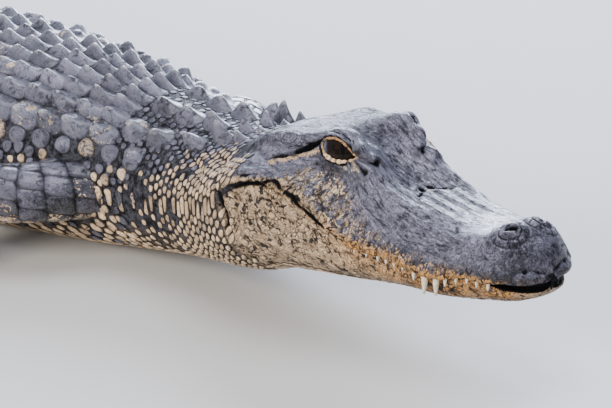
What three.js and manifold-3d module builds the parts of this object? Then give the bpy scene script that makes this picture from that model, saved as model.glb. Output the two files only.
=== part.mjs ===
// A life-size American alligator lying on its belly, with its head lifted a little and its mouth shut.
// Millimetres, +Z up, the floor at z = 0. +X runs from the hips over the shoulders to the snout, and
// -Y is the animal's right. The body is one run of upright sections along a spine that bends in plan.
// A station is a distance along the spine behind the tip of the snout. Lengths are in heads until they
// are placed.
import * as THREE from 'three';
import { mergeVertices } from 'three/addons/utils/BufferGeometryUtils.js';
import Module from 'manifold-3d';

const wasm = await Module();
wasm.setup();

// Driving dimensions
const HEAD = 340; // tip of the snout to the back of the skull, in mm
const LENGTH = 7.5; // tip of the snout to the tip of the tail, in heads
const RISE = 0.28; // height of the mouth line at the tip of the snout, in heads
const GAP = 0.35 / HEAD; // between neighbouring pieces

// Rows of scutes along the back and rings of them round the tail
const ROWS = { from: 1.6, count: 21, long: 0.1125 };
const RINGS = { from: ROWS.from + ROWS.count * ROWS.long, count: 34, long: 0.1 };
const row = (n) => ROWS.from + n * ROWS.long;
const ring = (n) => RINGS.from + n * RINGS.long;

// Where the body is parted into pieces, between rows of scutes
const HEAD_END = 1.1;
const PIECES = [
  { name: 'neck', from: HEAD_END, to: row(0), steps: 4, side: 8 },
  { name: 'chest', from: row(0), to: row(6), steps: 4, side: 8 },
  { name: 'belly', from: row(6), to: row(15), steps: 5, side: 8 },
  { name: 'pelvis', from: row(15), to: row(21), steps: 4, side: 8 },
  { name: 'tail_base', from: ring(0), to: ring(11), steps: 7, side: 7 },
  { name: 'tail_middle', from: ring(11), to: ring(23), steps: 7, side: 6 },
  { name: 'tail_tip', from: ring(23), to: LENGTH, steps: 6, side: 5 },
];

// Bends of the spine in plan: the middle of each, its length along the spine, and its turn in degrees.
// A positive turn carries what lies behind it to the animal's right
const HEAD_TURN = -5;
const BENDS = [
  { at: 2.2, over: 1.2, turn: 10 },
  { at: 4.7, over: 1.4, turn: -34 },
  { at: 6.1, over: 1.6, turn: -30 },
  { at: 7.1, over: 0.8, turn: 24 },
];

// Smooth curve through [station, value] pairs
function profile(pairs) {
  const slope = (i) => {
    const a = pairs[Math.max(i - 1, 0)];
    const b = pairs[Math.min(i + 1, pairs.length - 1)];
    return (b[1] - a[1]) / (b[0] - a[0]);
  };
  return (s) => {
    let i = 0;
    while (i < pairs.length - 2 && s > pairs[i + 1][0]) i += 1;
    const [s0, v0] = pairs[i];
    const [s1, v1] = pairs[i + 1];
    const span = s1 - s0;
    const t = THREE.MathUtils.clamp((s - s0) / span, 0, 1);
    const t2 = t * t;
    const t3 = t2 * t;
    return (2 * t3 - 3 * t2 + 1) * v0 + (t3 - 2 * t2 + t) * span * slope(i)
      + (3 * t2 - 2 * t3) * v1 + (t3 - t2) * span * slope(i + 1);
  };
}

// Smooth line through [station, distance from the middle, height] rows
function line(rows) {
  const across = profile(rows.map(([s, value]) => [s, value]));
  const up = profile(rows.map(([s, , value]) => [s, value]));
  return (s) => [across(s), up(s)];
}

// Half of the width: at the lip on the head, and at the widest place behind it
const halfWidth = profile([
  [0, 0.03], [0.012, 0.07], [0.035, 0.1], [0.07, 0.126], [0.12, 0.143], [0.18, 0.151], [0.25, 0.172],
  [0.31, 0.186], [0.42, 0.187], [0.52, 0.199], [0.62, 0.22], [0.74, 0.252], [0.88, 0.283],
  [1.0, 0.298], [1.08, 0.288], [1.25, 0.25], [1.45, 0.247], [1.75, 0.295], [2.1, 0.365], [2.6, 0.435],
  [3.1, 0.425], [3.5, 0.36], [3.8, 0.31], [4.2, 0.255], [4.8, 0.195], [5.5, 0.132], [6.2, 0.08],
  [6.9, 0.038], [7.5, 0.012],
]);

// Height of the widest place. On the head it is the mouth line, which climbs and drops towards its corner
const sideLine = profile([
  [0, RISE + 0.002], [0.06, RISE + 0.01], [0.15, RISE + 0.018], [0.25, RISE], [0.33, RISE + 0.004],
  [0.45, RISE + 0.014], [0.56, RISE + 0.019], [0.63, RISE + 0.045], [0.7, RISE + 0.08],
  [0.78, RISE + 0.135], [0.86, RISE + 0.146], [0.94, RISE + 0.124], [1.0, RISE + 0.1],
  [1.1, RISE + 0.04], [1.3, 0.265], [1.6, 0.225], [2.0, 0.19], [2.8, 0.175], [3.5, 0.185],
  [4.2, 0.185], [5.4, 0.13], [6.6, 0.07], [7.5, 0.022],
]);

// Height of the underside. Below the floor it is pressed flat
const underLine = profile([
  [0, RISE - 0.034], [0.03, RISE - 0.056], [0.1, RISE - 0.078], [0.3, RISE - 0.106], [0.55, RISE - 0.128],
  [0.8, RISE - 0.16], [1.0, 0.098], [1.2, 0.068], [1.5, 0.028], [1.8, -0.012], [2.2, -0.03],
  [3.4, -0.03], [4.0, -0.016], [5.0, -0.01], [7.0, -0.006], [7.5, -0.002],
]);

// Height of the back along its middle
const backLine = profile([
  [0, RISE + 0.05], [0.012, RISE + 0.078], [0.035, RISE + 0.112], [0.065, RISE + 0.137],
  [0.1, RISE + 0.146], [0.15, RISE + 0.137], [0.2, RISE + 0.127], [0.3, RISE + 0.124],
  [0.42, RISE + 0.138], [0.52, RISE + 0.158], [0.6, RISE + 0.185], [0.7, RISE + 0.225],
  [0.8, RISE + 0.243], [0.92, RISE + 0.243], [1.0, RISE + 0.231], [1.06, RISE + 0.205],
  [1.16, RISE + 0.172], [1.35, RISE + 0.16], [1.55, RISE + 0.176], [1.8, RISE + 0.2],
  [2.2, RISE + 0.212], [2.8, RISE + 0.208], [3.4, 0.472], [3.9, 0.45], [4.6, 0.39], [5.4, 0.31],
  [6.2, 0.222], [6.9, 0.13], [7.5, 0.04],
]);

// Lines that shape the top of the head: the edge of the snout, brow and skull table, the foot of the steep
// face below that edge, and the swell of the cheek above the lip
const edgeLine = line([
  [0, 0.012, RISE + 0.045], [0.012, 0.035, RISE + 0.07], [0.035, 0.055, RISE + 0.1],
  [0.07, 0.072, RISE + 0.128], [0.11, 0.082, RISE + 0.132], [0.18, 0.09, RISE + 0.118],
  [0.28, 0.103, RISE + 0.112], [0.4, 0.108, RISE + 0.132], [0.5, 0.112, RISE + 0.16],
  [0.58, 0.108, RISE + 0.2], [0.64, 0.1, RISE + 0.258], [0.7, 0.098, RISE + 0.285],
  [0.77, 0.11, RISE + 0.272], [0.85, 0.135, RISE + 0.256], [0.93, 0.148, RISE + 0.248],
  [0.985, 0.148, RISE + 0.226], [1.04, 0.14, RISE + 0.195], [HEAD_END, 0.13, RISE + 0.17],
]);
const steepLine = line([
  [0, 0.02, RISE + 0.034], [0.012, 0.052, RISE + 0.05], [0.035, 0.078, RISE + 0.072],
  [0.07, 0.104, RISE + 0.09], [0.12, 0.122, RISE + 0.092], [0.2, 0.132, RISE + 0.084],
  [0.3, 0.147, RISE + 0.082], [0.42, 0.153, RISE + 0.094], [0.54, 0.156, RISE + 0.116],
  [0.63, 0.158, RISE + 0.15], [0.7, 0.164, RISE + 0.178], [0.78, 0.168, RISE + 0.2],
  [0.87, 0.172, RISE + 0.208], [0.95, 0.18, RISE + 0.2], [1.02, 0.188, RISE + 0.172],
  [HEAD_END, 0.186, RISE + 0.138],
]);
const cheekLine = line([
  [0, 0.026, RISE + 0.018], [0.012, 0.066, RISE + 0.026], [0.035, 0.095, RISE + 0.036],
  [0.07, 0.12, RISE + 0.05], [0.14, 0.142, RISE + 0.052], [0.25, 0.163, RISE + 0.04],
  [0.33, 0.179, RISE + 0.044], [0.45, 0.182, RISE + 0.054], [0.56, 0.192, RISE + 0.066],
  [0.63, 0.206, RISE + 0.093], [0.7, 0.22, RISE + 0.126], [0.78, 0.238, RISE + 0.164],
  [0.87, 0.256, RISE + 0.175], [0.95, 0.268, RISE + 0.16], [1.02, 0.272, RISE + 0.135],
  [HEAD_END, 0.262, RISE + 0.1],
]);

// Squareness of a section behind the head, and of the lower jaw: 2 is an ellipse, more is boxier
const upperSquare = profile([[1, 2], [1.6, 1.85], [2.4, 1.95], [4, 1.9], [5, 1.8], [7.5, 1.7]]);
const lowerSquare = profile([[0, 2.6], [0.6, 2.7], [1.1, 2.5], [1.6, 2.3], [4, 2.3], [7.5, 2.2]]);

// The two mounds that carry the nostrils
const NOSTRIL = { at: 0.088, left: 0.036, long: 0.05, wide: 0.032, high: 0.016 };
const bell = (x) => Math.exp(-x * x);

// Section of the head above the mouth: a curve through the crown, edge, steep, cheek and lip
function headSection(s, turn) {
  const points = [[0, backLine(s)], edgeLine(s), steepLine(s), cheekLine(s), [halfWidth(s), sideLine(s)]];
  const point = (i) => {
    if (i < 0) return [-points[1][0], points[1][1]];
    if (i > 4) return [points[3][0], 2 * points[4][1] - points[3][1]];
    return points[i];
  };
  const i = Math.min(Math.floor(turn), 3);
  const t = turn - i;
  const weights = [
    (2 * t * t - t - t ** 3) / 2,
    (2 - 5 * t * t + 3 * t ** 3) / 2,
    (t + 4 * t * t - 3 * t ** 3) / 2,
    (t ** 3 - t * t) / 2,
  ];
  return [0, 1].map((axis) => weights.reduce((sum, weight, k) => sum + weight * point(i - 1 + k)[axis], 0));
}

// A place on the skin of station s, before the spine bends it: [distance from the middle, height].
// turn runs from 0 at the middle of the back, over LIP_TURN at the widest place, to 2 * LIP_TURN below
const LIP_TURN = 4;
function skin(s, turn, inset = 0) {
  const angle = (turn / LIP_TURN) * (Math.PI / 2);
  const upper = turn < LIP_TURN;
  const side = sideLine(s);
  const reach = upper ? backLine(s) - side : side - underLine(s);
  const power = 2 / (upper ? upperSquare(s) : lowerSquare(s));
  const across = (halfWidth(s) - inset) * Math.abs(Math.sin(angle)) ** power;
  const up = side + Math.sign(Math.cos(angle)) * (reach - inset) * Math.abs(Math.cos(angle)) ** power;
  const headShare = 1 - THREE.MathUtils.smoothstep(s, 1.0, 1.2);
  if (!upper || headShare === 0) return [across, up];
  const [headAcross, headUp] = headSection(Math.min(s, HEAD_END), turn);
  const { at, left, long, wide, high } = NOSTRIL;
  const mound = high * bell((s - at) / long) * bell((headAcross - left) / wide);
  return [
    THREE.MathUtils.lerp(across, headAcross, headShare),
    THREE.MathUtils.lerp(up, headUp + mound, headShare),
  ];
}

// The spine in plan, walked backwards from the tip of the snout in small steps
const STEP = 0.01;
const spine = [];
const walk = { x: 0, y: 0 };
for (let i = 0; i <= LENGTH / STEP + 1; i += 1) {
  const s = i * STEP;
  const degrees = BENDS.reduce(
    (sum, { at, over, turn }) => sum + turn * THREE.MathUtils.smoothstep(s, at - over / 2, at + over / 2),
    HEAD_TURN,
  );
  const heading = THREE.MathUtils.degToRad(degrees);
  spine.push({ ...walk, heading });
  walk.x -= Math.cos(heading) * STEP;
  walk.y -= Math.sin(heading) * STEP;
}
function spineAt(s) {
  const f = THREE.MathUtils.clamp(s / STEP, 0, spine.length - 1.001);
  const i = Math.floor(f);
  const mix = (key) => THREE.MathUtils.lerp(spine[i][key], spine[i + 1][key], f - i);
  return { x: mix('x'), y: mix('y'), heading: mix('heading') };
}

// Station, distance to the left of the spine, and height, to millimetres
function place(s, left, up) {
  const { x, y, heading } = spineAt(s);
  return new THREE.Vector3(
    (x - Math.sin(heading) * left) * HEAD,
    (y + Math.cos(heading) * left) * HEAD,
    up * HEAD,
  );
}

// Solid through rings of equally many points. The rings run counter-clockwise when seen from the last one
function loft(rings) {
  const count = rings[0].length;
  const points = rings.flat();
  const faces = [];
  for (let r = 0; r < rings.length - 1; r += 1) {
    for (let i = 0; i < count; i += 1) {
      const a = r * count + i;
      const b = r * count + ((i + 1) % count);
      faces.push(a, b, b + count, a, b + count, a + count);
    }
  }
  for (const [ring, last] of [[0, false], [rings.length - 1, true]]) {
    const middle = points.length;
    const centre = rings[ring].reduce((sum, point) => sum.add(point), new THREE.Vector3());
    points.push(centre.divideScalar(count));
    for (let i = 0; i < count; i += 1) {
      const a = ring * count + i;
      const b = ring * count + ((i + 1) % count);
      faces.push(...(last ? [middle, a, b] : [middle, b, a]));
    }
  }
  const geometry = new THREE.BufferGeometry().setFromPoints(points);
  geometry.setIndex(faces);
  return geometry;
}

// Geometry to a solid and back, for the joins and cuts
function solidOf(geometry) {
  const bare = geometry.clone();
  bare.deleteAttribute('normal');
  bare.deleteAttribute('uv');
  const merged = mergeVertices(bare, 1e-3);
  return new wasm.Manifold(new wasm.Mesh({
    numProp: 3,
    vertProperties: merged.attributes.position.array,
    triVerts: new Uint32Array(merged.index.array),
  }));
}
function geometryOf(solid) {
  const mesh = solid.getMesh();
  const geometry = new THREE.BufferGeometry();
  geometry.setAttribute('position', new THREE.BufferAttribute(mesh.vertProperties, 3));
  geometry.setIndex(new THREE.BufferAttribute(mesh.triVerts, 1));
  return geometry;
}
// A cut can leave crumbs beside the piece
const largest = (solid) => solid.decompose().sort((a, b) => b.volume() - a.volume())[0];

// A block that fills the space below a height
function ground(up) {
  const block = new THREE.BoxGeometry(24 * HEAD, 24 * HEAD, HEAD);
  block.translate(0, 0, (up - 0.5) * HEAD);
  return solidOf(block);
}
const floor = ground(0);

const animal = new THREE.Group();
function keep(name, solid, colour, roughness) {
  const material = new THREE.MeshStandardMaterial({ color: colour, roughness, metalness: 0 });
  const mesh = new THREE.Mesh(geometryOf(largest(solid.subtract(floor))), material);
  mesh.name = name;
  animal.add(mesh);
}
const SLATE = 0x4a4d55;
const JAW = 0xb59a74;
const LIMB = 0x50525a;
const EYE = 0x15100a;
const CLAW = 0x2b2723;
const SKIN_ROUGH = 0.5;
const EYE_ROUGH = 0.08;
const CLAW_ROUGH = 0.4;

// Full ring of the neck, trunk or tail, with this many points on each flank
function fullRing(s, flank, inset = 0) {
  return Array.from({ length: flank * 2 }, (_, i) => {
    const turn = (i / flank) * LIP_TURN * 2;
    const right = i > flank;
    const [across, up] = skin(s, right ? LIP_TURN * 4 - turn : turn, inset);
    return place(s, right ? -across : across, up);
  });
}
function evenly(from, to, steps) {
  return Array.from({ length: steps + 1 }, (_, i) => from + ((to - from) * i) / steps);
}

// Keel of a scute: three sides that climb backwards from the skin to a point
const SUNK = 0.01; // depth of its foot in the skin
const CREST = 0.3; // where its point stands, as a share of its length behind its middle
function keel(s, left, long, wide, high) {
  const corner = (back, out, lift) => {
    const station = s + back * long;
    const signed = left + out * wide;
    let turn = 0;
    while (turn < LIP_TURN && skin(station, turn)[0] < Math.abs(signed)) turn += 0.02;
    return place(station, signed, skin(station, turn)[1] + lift);
  };
  const points = [corner(-0.5, 0, -SUNK), corner(0.5, 0.5, -SUNK), corner(0.5, -0.5, -SUNK)];
  points.push(corner(CREST, 0, high));
  const geometry = new THREE.BufferGeometry().setFromPoints(points);
  geometry.setIndex([0, 1, 3, 1, 2, 3, 2, 0, 3, 0, 2, 1]);
  return solidOf(geometry);
}

// Where the keels stand: nape plates, three lanes each side of the back, and two lines on the tail that
// join into one crest
const keels = [];
const NAPE = [[1.2, 0.055], [1.22, 0.13], [1.4, 0.055], [1.42, 0.14], [1.51, 0.055]];
for (const [s, left] of NAPE) keels.push({ s, left, long: 0.095, wide: 0.075, high: 0.03 });
const LANES = 3;
for (let n = 0; n < ROWS.count; n += 1) {
  const s = row(n + 0.5);
  const lane = halfWidth(s) * 0.23;
  for (let k = 0; k < LANES; k += 1) {
    const high = 0.028 - k * 0.003;
    keels.push({ s, left: lane * (k + 0.5), long: ROWS.long * 0.94, wide: lane * 0.85, high });
  }
}
const CREST_JOINS = 5.75;
for (let n = 0; n < RINGS.count; n += 1) {
  const s = ring(n + 0.5);
  const joined = s > CREST_JOINS;
  const spread = 0.62 - 0.4 * THREE.MathUtils.smoothstep(s, 3.9, CREST_JOINS);
  const grown = 0.028 + 0.04 * THREE.MathUtils.smoothstep(s, 3.8, 5.6);
  keels.push({
    s,
    left: joined ? 0 : halfWidth(s) * spread,
    long: RINGS.long * 0.97,
    wide: joined ? 0.03 : 0.05,
    high: grown * (1 - 0.75 * THREE.MathUtils.smoothstep(s, 6.2, LENGTH)),
  });
}

// Neck, trunk and tail
const CLEAR = 1.3 * GAP; // how far the legs keep off the skin of the body
let clearance = floor;
for (const { name, from, to, steps, side } of PIECES) {
  const stations = evenly(from + GAP / 2, to - GAP / 2, steps);
  let solid = solidOf(loft(stations.map((s) => fullRing(s, side))));
  const reach = [-CLEAR, ...Array(steps - 1).fill(0), CLEAR];
  clearance = clearance.add(solidOf(loft(stations.map((s, i) => fullRing(s + reach[i], side, -CLEAR)))));
  for (const { s, left, long, wide, high } of keels) {
    if (s - long / 2 < from + GAP || s + long / 2 > to - GAP) continue;
    for (const signed of left ? [left, -left] : [0]) solid = solid.add(keel(s, signed, long, wide, high));
  }
  keep(name, solid, SLATE, SKIN_ROUGH);
}

// Half rings of the head above the mouth, and of the lower jaw below it. The jaw lies inside the lip
const LIP = 0.022;
const UPPER_STEPS = 8;
const LOWER_STEPS = 5;
const HEAD_STATIONS = [0, 0.012, 0.035, 0.065, 0.1, ...evenly(0.14, HEAD_END - GAP / 2, 14)];
function upperRing(s) {
  const flank = evenly(0, LIP_TURN, UPPER_STEPS).map((turn) => skin(s, turn));
  const right = flank.map(([across, up]) => place(s, -across, up));
  const left = flank.map(([across, up]) => place(s, across, up));
  return [...right.reverse(), ...left.slice(1)];
}
function lowerRing(s) {
  const inset = LIP * (1 - THREE.MathUtils.smoothstep(s, 0.9, 1.05));
  const flank = evenly(LIP_TURN, 2 * LIP_TURN, LOWER_STEPS).map((turn) => skin(s, turn, inset));
  const left = flank.map(([across, up]) => place(s, across, up - GAP));
  const right = flank.map(([across, up]) => place(s, -across, up - GAP));
  return [...left, ...right.reverse().slice(1)];
}
let head = solidOf(loft(HEAD_STATIONS.map(upperRing)));
keep('jaw_lower', solidOf(loft(HEAD_STATIONS.slice(1).map(lowerRing))), JAW, SKIN_ROUGH);

// Upper teeth that show beside the lower jaw, as [station, length below the lip]. They grow from the head
const TEETH = [
  [0.095, 0.013], [0.13, 0.016], [0.165, 0.012], [0.2, 0.013], [0.232, 0.016], [0.262, 0.03],
  [0.298, 0.034], [0.335, 0.018], [0.38, 0.01], [0.415, 0.013], [0.445, 0.013], [0.475, 0.014],
  [0.515, 0.012], [0.555, 0.01],
];
const ROOT = 0.01; // how far a tooth reaches up into the lip
for (const [s, long] of TEETH) {
  const thick = 0.0045 + 0.15 * long;
  for (const side of [1, -1]) {
    const root = place(s, side * (halfWidth(s) - thick - 0.0015), sideLine(s));
    const cone = new THREE.ConeGeometry(thick * HEAD, (long + ROOT) * HEAD, 4);
    cone.rotateX(-Math.PI / 2);
    cone.translate(root.x, root.y, root.z - ((long - ROOT) / 2) * HEAD);
    head = head.add(solidOf(cone));
  }
}

// Eyes in their sockets below the brows, and long ear lids below the rim of the skull table
function ball(s, left, up, radius, [long, wide, deep], segments) {
  const sphere = new THREE.SphereGeometry(radius * HEAD, segments, segments / 2);
  sphere.rotateX(Math.PI / 2);
  sphere.scale(long, wide, deep);
  sphere.rotateZ(spineAt(s).heading);
  sphere.translate(...place(s, left, up).toArray());
  return solidOf(sphere);
}
const ROUND = [1, 1, 1];
const SEGMENTS = 10;
const EYE_BALL = { s: 0.71, left: 0.1, up: RISE + 0.228, radius: 0.055 };
const EAR = { s: 0.862, left: 0.157, up: RISE + 0.24, radius: 0.08, shape: [1, 0.15, 0.2] };
const SMALL_SEGMENTS = 8;
for (const [word, side] of [['left', 1], ['right', -1]]) {
  const { s, left, up, radius } = EYE_BALL;
  head = head.subtract(ball(s, side * left, up, radius + GAP, ROUND, SEGMENTS));
  keep(`eye_${word}`, ball(s, side * left, up, radius, ROUND, SEGMENTS), EYE, EYE_ROUGH);
  const slot = EAR.shape.map((share) => share + GAP / EAR.radius);
  head = head.subtract(ball(EAR.s, side * EAR.left, EAR.up, EAR.radius, slot, SMALL_SEGMENTS));
  const lid = ball(EAR.s, side * EAR.left, EAR.up, EAR.radius, EAR.shape, SMALL_SEGMENTS);
  keep(`ear_${word}`, lid, SLATE, SKIN_ROUGH);
}

// Nostrils: a short slot in the top of each mound
const SLOT = { s: 0.094, up: RISE + 0.163, radius: 0.018, shape: [1, 0.45, 0.9] };
for (const side of [1, -1]) {
  head = head.subtract(ball(SLOT.s, side * NOSTRIL.left, SLOT.up, SLOT.radius, SLOT.shape, SMALL_SEGMENTS));
}
keep('head_upper', head, SLATE, SKIN_ROUGH);

const UP = new THREE.Vector3(0, 0, 1);

// Tube along a path. Rows are [station, left, up, half width, half depth], its depth turned as far from
// level as the path is from upright
function tube(rows, side, steps, around, grow = 0) {
  const curve = new THREE.CatmullRomCurve3(rows.map(([s, left, up]) => place(s, side * left, up)));
  const size = line(rows.map(([, , , wide, deep], i) => [i / (rows.length - 1), wide, deep]));
  return solidOf(loft(evenly(0, 1, steps).map((t) => {
    const tangent = curve.getTangent(t);
    const level = new THREE.Vector3().crossVectors(tangent, UP).normalize();
    const depth = new THREE.Vector3().crossVectors(level, tangent);
    const [wide, deep] = size(t);
    return Array.from({ length: around }, (_, i) => {
      const angle = (i / around) * Math.PI * 2;
      return curve.getPoint(t)
        .addScaledVector(depth, Math.cos(angle) * (deep + grow) * HEAD)
        .addScaledVector(level, Math.sin(angle) * (wide + grow) * HEAD);
    });
  })));
}

// Legs from the body to the ankle, and where each foot points, in degrees outwards from straight ahead
const ANKLE = 0.062;
const LEGS = [
  {
    name: 'foreleg_right', side: -1, foot: 'hand', points: 28,
    rows: [
      [1.7, 0.14, 0.21, 0.13, 0.1], [1.76, 0.34, 0.21, 0.115, 0.082], [1.95, 0.52, 0.188, 0.09, 0.076],
      [1.93, 0.63, 0.11, 0.072, 0.062], [1.86, 0.7, 0.04, 0.054, 0.046],
    ],
  },
  {
    name: 'foreleg_left', side: 1, foot: 'hand', points: 20,
    rows: [
      [1.74, 0.14, 0.22, 0.13, 0.1], [1.8, 0.34, 0.2, 0.12, 0.085], [1.92, 0.5, 0.175, 0.09, 0.08],
      [1.92, 0.58, 0.11, 0.072, 0.062], [1.88, 0.65, 0.04, 0.054, 0.046],
    ],
  },
  {
    name: 'hindleg_right', side: -1, foot: 'foot', points: 24,
    rows: [
      [3.66, 0.16, 0.25, 0.14, 0.12], [3.52, 0.38, 0.25, 0.13, 0.11], [3.4, 0.54, 0.2, 0.1, 0.085],
      [3.53, 0.61, 0.12, 0.08, 0.07], [3.66, 0.65, 0.035, 0.06, 0.05],
    ],
  },
  {
    name: 'hindleg_left', side: 1, foot: 'foot', points: 34,
    rows: [
      [3.66, 0.16, 0.25, 0.14, 0.12], [3.6, 0.38, 0.25, 0.13, 0.11], [3.53, 0.54, 0.2, 0.1, 0.085],
      [3.68, 0.6, 0.12, 0.08, 0.07], [3.82, 0.63, 0.035, 0.06, 0.05],
    ],
  },
];

// Feet: heel behind the ankle, palm length, half width at the toes, how far the webs reach along the toes,
// then each toe as [spread in degrees, length], the innermost first
const FEET = {
  hand: {
    heel: 0.03, palm: 0.13, half: 0.066, web: 0,
    toes: [[-44, 0.1], [-20, 0.13], [3, 0.14], [27, 0.12], [50, 0.09]],
  },
  foot: {
    heel: 0.06, palm: 0.19, half: 0.075, web: 0.62,
    toes: [[-30, 0.15], [-9, 0.2], [12, 0.21], [34, 0.18]],
  },
};
const TOE = { half: 0.019, up: 0.016, tip: 0.013 };
const KNUCKLE = 0.86; // where the toes leave the palm, as a share of its length
const CLAW_TOES = 3; // the three inner toes of every foot have a claw
const CLAW_LONG = 0.05;
const WEB_THICK = 0.014;
for (const { name, side, foot, points, rows } of LEGS) {
  // The upper leg ends in a rounded elbow or knee, and the lower leg starts inside it
  const bend = rows[2];
  const beyond = bend.map((value, i) => (i < 3 ? value + (value - rows[1][i]) * 0.35 : value * 0.5));
  const upperRows = [rows[0], rows[1], bend, beyond];
  const upper = tube(upperRows, side, 6, 10);
  const joint = tube(upperRows, side, 6, 10, CLEAR);
  const lower = tube(rows.slice(2), side, 3, 8);
  const ending = ground(ANKLE).add(joint).add(clearance);
  keep(`${name}_upper`, upper.subtract(clearance), LIMB, SKIN_ROUGH);
  keep(`${name}_lower`, lower.subtract(ending), LIMB, SKIN_ROUGH);

  // The foot lies flat below the ankle: `ahead` is how far a place is before it, `out` how far outside
  const { heel, palm, half, web, toes } = FEET[foot];
  const [station, left] = rows[rows.length - 1];
  const start = THREE.MathUtils.degToRad(points);
  const at = (ahead, out, up) => [
    station - ahead * Math.cos(start) + out * Math.sin(start),
    left + ahead * Math.sin(start) + out * Math.cos(start),
    up,
  ];
  const onToe = (i, far, up) => {
    const angle = THREE.MathUtils.degToRad(toes[i][0]);
    const out = half * 0.8 * ((2 * i) / (toes.length - 1) - 1);
    return at(palm * KNUCKLE + far * Math.cos(angle), out + far * Math.sin(angle), up);
  };
  const top = ANKLE - GAP;
  let sole = tube([
    [...at(-heel, 0, top / 2), 0.035, top / 2], [...at(0, 0, top / 2), 0.05, top / 2],
    [...at(palm * 0.6, 0, 0.024), half * 0.9, 0.024], [...at(palm, 0, 0.016), half, 0.018],
  ], side, 4, 7);
  toes.forEach(([, long], i) => {
    sole = sole.add(tube([
      [...onToe(i, -0.02, TOE.up), TOE.half, TOE.half],
      [...onToe(i, long * 0.5, TOE.up), TOE.half, TOE.half],
      [...onToe(i, long, TOE.up), TOE.tip, TOE.tip],
    ], side, 2, 5));
    if (i >= CLAW_TOES) return;
    const claw = tube([
      [...onToe(i, long + GAP, 0.0165), 0.0105, 0.0105],
      [...onToe(i, long + CLAW_LONG * 0.5, 0.0165), 0.0075, 0.0075],
      [...onToe(i, long + CLAW_LONG, 0.004), 0.001, 0.001],
    ], side, 2, 4);
    keep(`${name}_claw_${i + 1}`, claw, CLAW, CLAW_ROUGH);
  });
  // Webs between the toes
  for (let i = 0; web > 0 && i < toes.length - 1; i += 1) {
    const corner = (k, far) => {
      const [s, out] = onToe(k, far);
      const { x, y } = place(s, side * out, 0);
      return new THREE.Vector2(x, y);
    };
    const [near, next] = [toes[i][1], toes[i + 1][1]];
    const outline = [corner(i, near * -0.1), corner(i, near * web)];
    outline.push(corner(i + 1, next * web), corner(i + 1, next * -0.1));
    const sheet = { depth: WEB_THICK * HEAD, bevelEnabled: false };
    sole = sole.add(solidOf(new THREE.ExtrudeGeometry(new THREE.Shape(outline), sheet)));
  }
  keep(`${name}_foot`, sole, LIMB, SKIN_ROUGH);
}

// The origin is the middle of the footprint, on the floor
const box = new THREE.Box3().setFromObject(animal);
const middle = box.getCenter(new THREE.Vector3());
animal.position.set(-middle.x, -middle.y, -box.min.z);

export default animal;
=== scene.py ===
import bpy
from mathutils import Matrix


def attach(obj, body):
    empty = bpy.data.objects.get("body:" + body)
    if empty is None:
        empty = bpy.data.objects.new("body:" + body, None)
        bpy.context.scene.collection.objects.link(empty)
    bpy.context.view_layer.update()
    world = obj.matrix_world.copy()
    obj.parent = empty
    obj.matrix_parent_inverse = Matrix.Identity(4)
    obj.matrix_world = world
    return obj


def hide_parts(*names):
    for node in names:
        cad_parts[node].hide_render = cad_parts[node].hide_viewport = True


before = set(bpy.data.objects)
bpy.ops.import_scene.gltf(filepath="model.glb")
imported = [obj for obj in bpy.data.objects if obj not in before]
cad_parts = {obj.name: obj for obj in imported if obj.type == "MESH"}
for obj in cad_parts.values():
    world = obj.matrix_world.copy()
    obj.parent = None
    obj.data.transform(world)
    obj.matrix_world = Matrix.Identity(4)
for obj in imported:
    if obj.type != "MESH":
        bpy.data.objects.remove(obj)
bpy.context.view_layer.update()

import math

import bmesh
import bpy
import numpy as np
from mathutils import Matrix, Vector
from mathutils.kdtree import KDTree

# The hide: one skin over the head, neck, trunk, tail and legs of an American alligator about 2.5 m long,
# tight over the bone of the skull and loose behind the jaw. It is a run of upright sections along a spine
# that bends in plan, raised into lids, folds and knobs. Lengths are in heads until they are placed
HEAD = 0.34
LENGTH = 7.5
HEAD_END = 1.1

# Where the tip of the snout lies in the frame, and the height that the head's own heights count from
SNOUT = (1.15822, -0.15897)
RISE = 0.28

# The spine's bends in plan: station, length and degrees
HEAD_TURN = -5
BENDS = [(2.2, 1.2, 10), (4.7, 1.4, -34), (6.1, 1.6, -30), (7.1, 0.8, 24)]


def profile(pairs):
    """A smooth curve through pairs of a station and a value."""
    at, value = (np.array(column, float) for column in zip(*pairs))
    order = np.arange(len(at))
    low, high = np.maximum(order - 1, 0), np.minimum(order + 1, len(at) - 1)
    slope = (value[high] - value[low]) / (at[high] - at[low])

    def curve(s):
        s = np.asarray(s, float)
        i = np.clip(np.searchsorted(at, s) - 1, 0, len(at) - 2)
        span = at[i + 1] - at[i]
        t = np.clip((s - at[i]) / span, 0, 1)
        t2, t3 = t * t, t * t * t
        ends = (2 * t3 - 3 * t2 + 1) * value[i] + (3 * t2 - 2 * t3) * value[i + 1]
        return ends + span * ((t3 - 2 * t2 + t) * slope[i] + (t3 - t2) * slope[i + 1])

    return curve


def line(rows):
    """A line along the head, through rows of a station, a distance from the middle and a height."""
    across = profile([(s, value) for s, value, _ in rows])
    up = profile([(s, value) for s, _, value in rows])
    return lambda s: (across(s), up(s) + RISE)


def smooth(x, low, high):
    t = np.clip((x - low) / (high - low), 0, 1)
    return t * t * (3 - 2 * t)


def bell(x):
    return np.exp(-x * x)


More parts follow.
